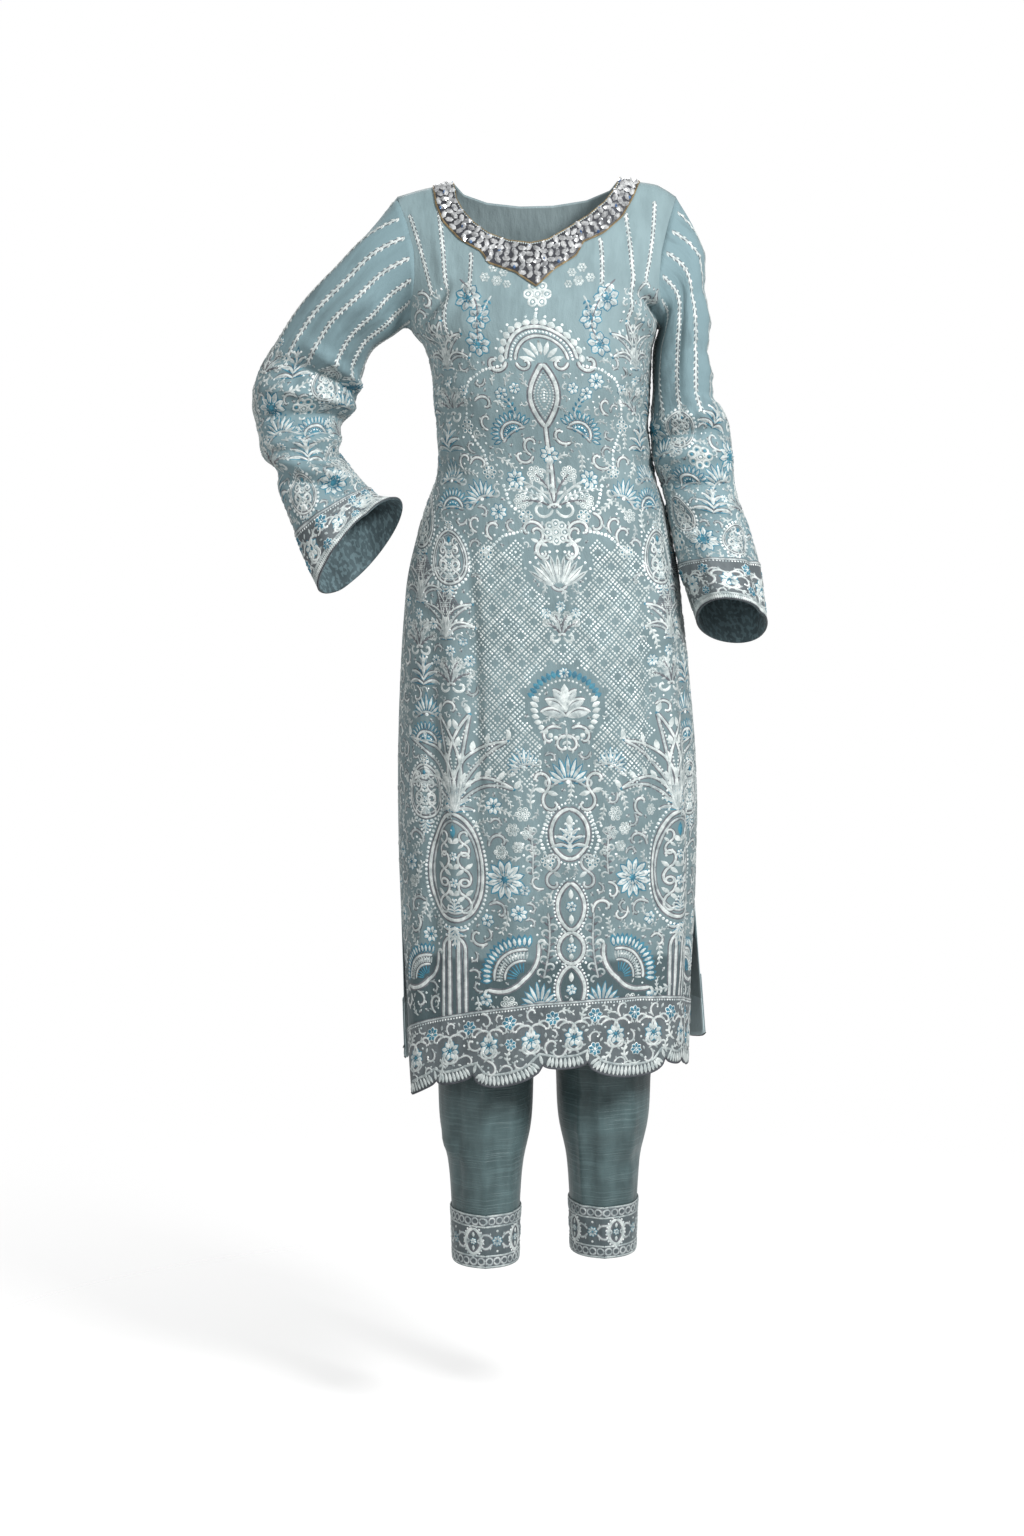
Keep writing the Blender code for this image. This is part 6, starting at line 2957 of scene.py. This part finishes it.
@dataclass
class Waistband:
    """The trousers' waistband.

    Attributes:
        cut: its flat cut; not used.
        wardrobe: the finishes.
        name: the piece's name.
        columns: of its mesh, round the waist.
        rows: of its mesh, downward.
        pitch: of its columns on the cloth, and of its rows up it, in millimetres.
    """

    cut: Cut
    wardrobe: Wardrobe
    name: str = "trouser_waistband_cloth"
    columns: int = 96
    rows: int = 7
    pitch: complex = 6.1 - 6.7j

    def build(self) -> None:
        """Make the band round the top of both legs."""
        turn = np.linspace(0, 2 * np.pi, self.columns + 1)[None]
        height = np.linspace(WAISTBAND_TOP, WAISTBAND_SEAM, self.rows)[:, None]
        top = HIPS[0]
        x = TROUSER_X + top.half_width * np.sin(turn) + 0 * height
        y = -np.where(np.cos(turn) > 0, top.front, top.back) * np.cos(turn) + 0 * height
        points = np.stack([x, y, height + 0 * turn], axis=-1)
        down, across = np.mgrid[:self.rows, :self.columns + 1]
        flat = self.pitch.real * across + 1j * self.pitch.imag * down
        mesh = grid_mesh(self.name, points, flat, 1, True)
        self.body = place_mesh(self.name, mesh, self.wardrobe.cloths[SILK.name], "trouser_silk")
        thicken(self.body, WAIST_SHELL)
        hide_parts("trouser_waistband")

    def dress(self) -> None:
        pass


@dataclass
class Studio:
    """The floor, the backdrop, the lamps and the camera.

    Attributes:
        camera_at: the camera's place, in metres.
        floor_height: the floor's height, in metres.
        lens: the focal length, in millimetres.
        sensor: the sensor's width, in millimetres.
        shift: how far the view is shifted up, as a share of its longer side.
        tilt: how far the camera looks down, in radians.
        ambient: the strength of the light from all round.
        backdrop: how far back a direction points, from 0 to 1, where the backdrop begins and is full.
        floor_half: half the floor's side, in metres.
    """

    camera_at: tuple[float, float, float] = (-0.030, -3.6, -0.30)
    floor_height: float = -1.504
    lens: float = 70.3125
    sensor: float = 36.0
    shift: float = -0.18
    tilt: float = 0.0195
    ambient: float = 0.5
    backdrop: tuple[float, float] = (0.84, 0.91)
    floor_half: float = 2.4

    def build(self) -> None:
        """Set the studio up."""
        self.add_floor()
        self.add_lamp("key_lamp", (2.2, -2.7, 1.5), 0.8, 210.0)
        self.add_lamp("fill_lamp", (-2.2, -2.9, 0.5), 2.0, 40.0)
        self.add_lamp("back_lamp", (-0.8, 2.8, 1.4), 2.0, 60.0)
        self.add_world()
        bpy.context.scene.view_settings.view_transform = "Standard"
        data = bpy.data.cameras.new("camera")
        data.lens, data.sensor_width, data.shift_y = self.lens, self.sensor, self.shift
        camera = bpy.data.objects.new("camera", data)
        bpy.context.scene.collection.objects.link(camera)
        camera.location = self.camera_at
        camera.rotation_euler = (math.pi / 2 - self.tilt, 0, 0)
        bpy.context.scene.camera = camera

    def add_world(self) -> None:
        """Surround the suit with soft pale light, and put a white backdrop behind it."""
        world = bpy.data.worlds.new("studio")
        bpy.context.scene.world = world
        world.use_nodes = True
        nodes = Nodes(world.node_tree)
        where = nodes.node("ShaderNodeTexCoord", output="Generated")
        depth = nodes.node("ShaderNodeSeparateXYZ", inputs={0: where}, output="Y")
        low, high = self.backdrop
        values = {"Value": depth, "From Min": low, "From Max": high, "To Min": self.ambient, "To Max": 1.0}
        glow = nodes.node("ShaderNodeMapRange", inputs=values)
        background = world.node_tree.nodes["Background"]
        background.inputs["Color"].default_value = (1.0, 1.0, 1.0, 1.0)
        nodes.feed(background.inputs["Strength"], glow)

    def add_floor(self) -> None:
        """Lay a plain pale floor that fades out all round."""
        mesh = bpy.data.meshes.new("floor")
        corners = [(x * self.floor_half, y * self.floor_half, self.floor_height)
                   for x, y in ((-1, -1), (1, -1), (1, 1), (-1, 1))]
        mesh.from_pydata(corners, [], [(0, 1, 2, 3)])
        floor = bpy.data.objects.new("floor", mesh)
        bpy.context.scene.collection.objects.link(floor)
        paint = Finish("floor_paint", 0.8)
        where = paint.place()
        paint.colour(paint.mix(paint.noise(where, 900.0), linear(236, 236, 236), linear(240, 240, 240)))
        away = paint.node("ShaderNodeVectorMath", {"operation": "LENGTH"}, {0: where}, output="Value")
        paint.feed(paint.shader.inputs["Alpha"], away.step(2300.0, 700.0))
        mesh.materials.append(paint.material)

    def add_lamp(self, name: str, at: tuple[float, float, float], size: float, power: float) -> None:
        """Hang a soft square lamp that faces the suit.

        Args:
            name: its name.
            at: its place, in metres.
            size: its side, in metres.
            power: in watts.
        """
        data = bpy.data.lights.new(name, "AREA")
        data.energy, data.size = power, size
        lamp = bpy.data.objects.new(name, data)
        bpy.context.scene.collection.objects.link(lamp)
        lamp.location = at
        way = Vector((0, 0, -0.6)) - Vector(at)
        lamp.rotation_euler = way.to_track_quat("-Z", "Y").to_euler()


def main() -> None:
    """Build the suit piece by piece, then the studio."""
    logging.basicConfig(level=logging.INFO, format="%(name)s: %(message)s")
    wardrobe = Wardrobe()
    front = Torso(FRONT_CUT.side, FRONT_CREASES)
    back = Torso(BACK_CUT.side, BACK_CREASES)
    right = sleeve_tube(SLEEVE_RIGHT, ARMHOLE_RIGHT, front, back, -1, RIGHT_SLEEVE_CREASES)
    left = sleeve_tube(SLEEVE_LEFT, ARMHOLE_LEFT, front, back, 1, LEFT_SLEEVE_CREASES)
    pieces = [
        KameezPanel(Panel(FRONT_CUT, front), FRONT_CUTS, wardrobe),
        KameezPanel(Panel(BACK_CUT, back), BACK_CUTS, wardrobe),
        Sleeve("right", right, SLEEVE_CUT, Cut(0.33, 0.06), right.length - RIGHT_BORDER, wardrobe),
        Sleeve("left", left, SLEEVE_CUT, Cut(0.30, 0.08), left.length - LEFT_BORDER, wardrobe,
               dense_from=186.0),
        Waistband(Cut(0.59, 0.04), wardrobe),
    ]
    for word, side, stance, creases in (("right", -1, STANCE_RIGHT, RIGHT_LEG_CREASES),
                                        ("left", 1, STANCE_LEFT, LEFT_LEG_CREASES)):
        leg = leg_tube(side, stance, creases)
        pieces.append(TrouserLeg(word, leg, LEG_CUT, CUFF_CUT, WAISTBAND_SEAM - TROUSER_CUFF_TOP, wardrobe))
    for piece in pieces:
        piece.build()
    for piece in pieces:
        piece.dress()
        LOG.info("%s done", type(piece).__name__)
    Studio().build()


if __name__ == "__main__":
    main()
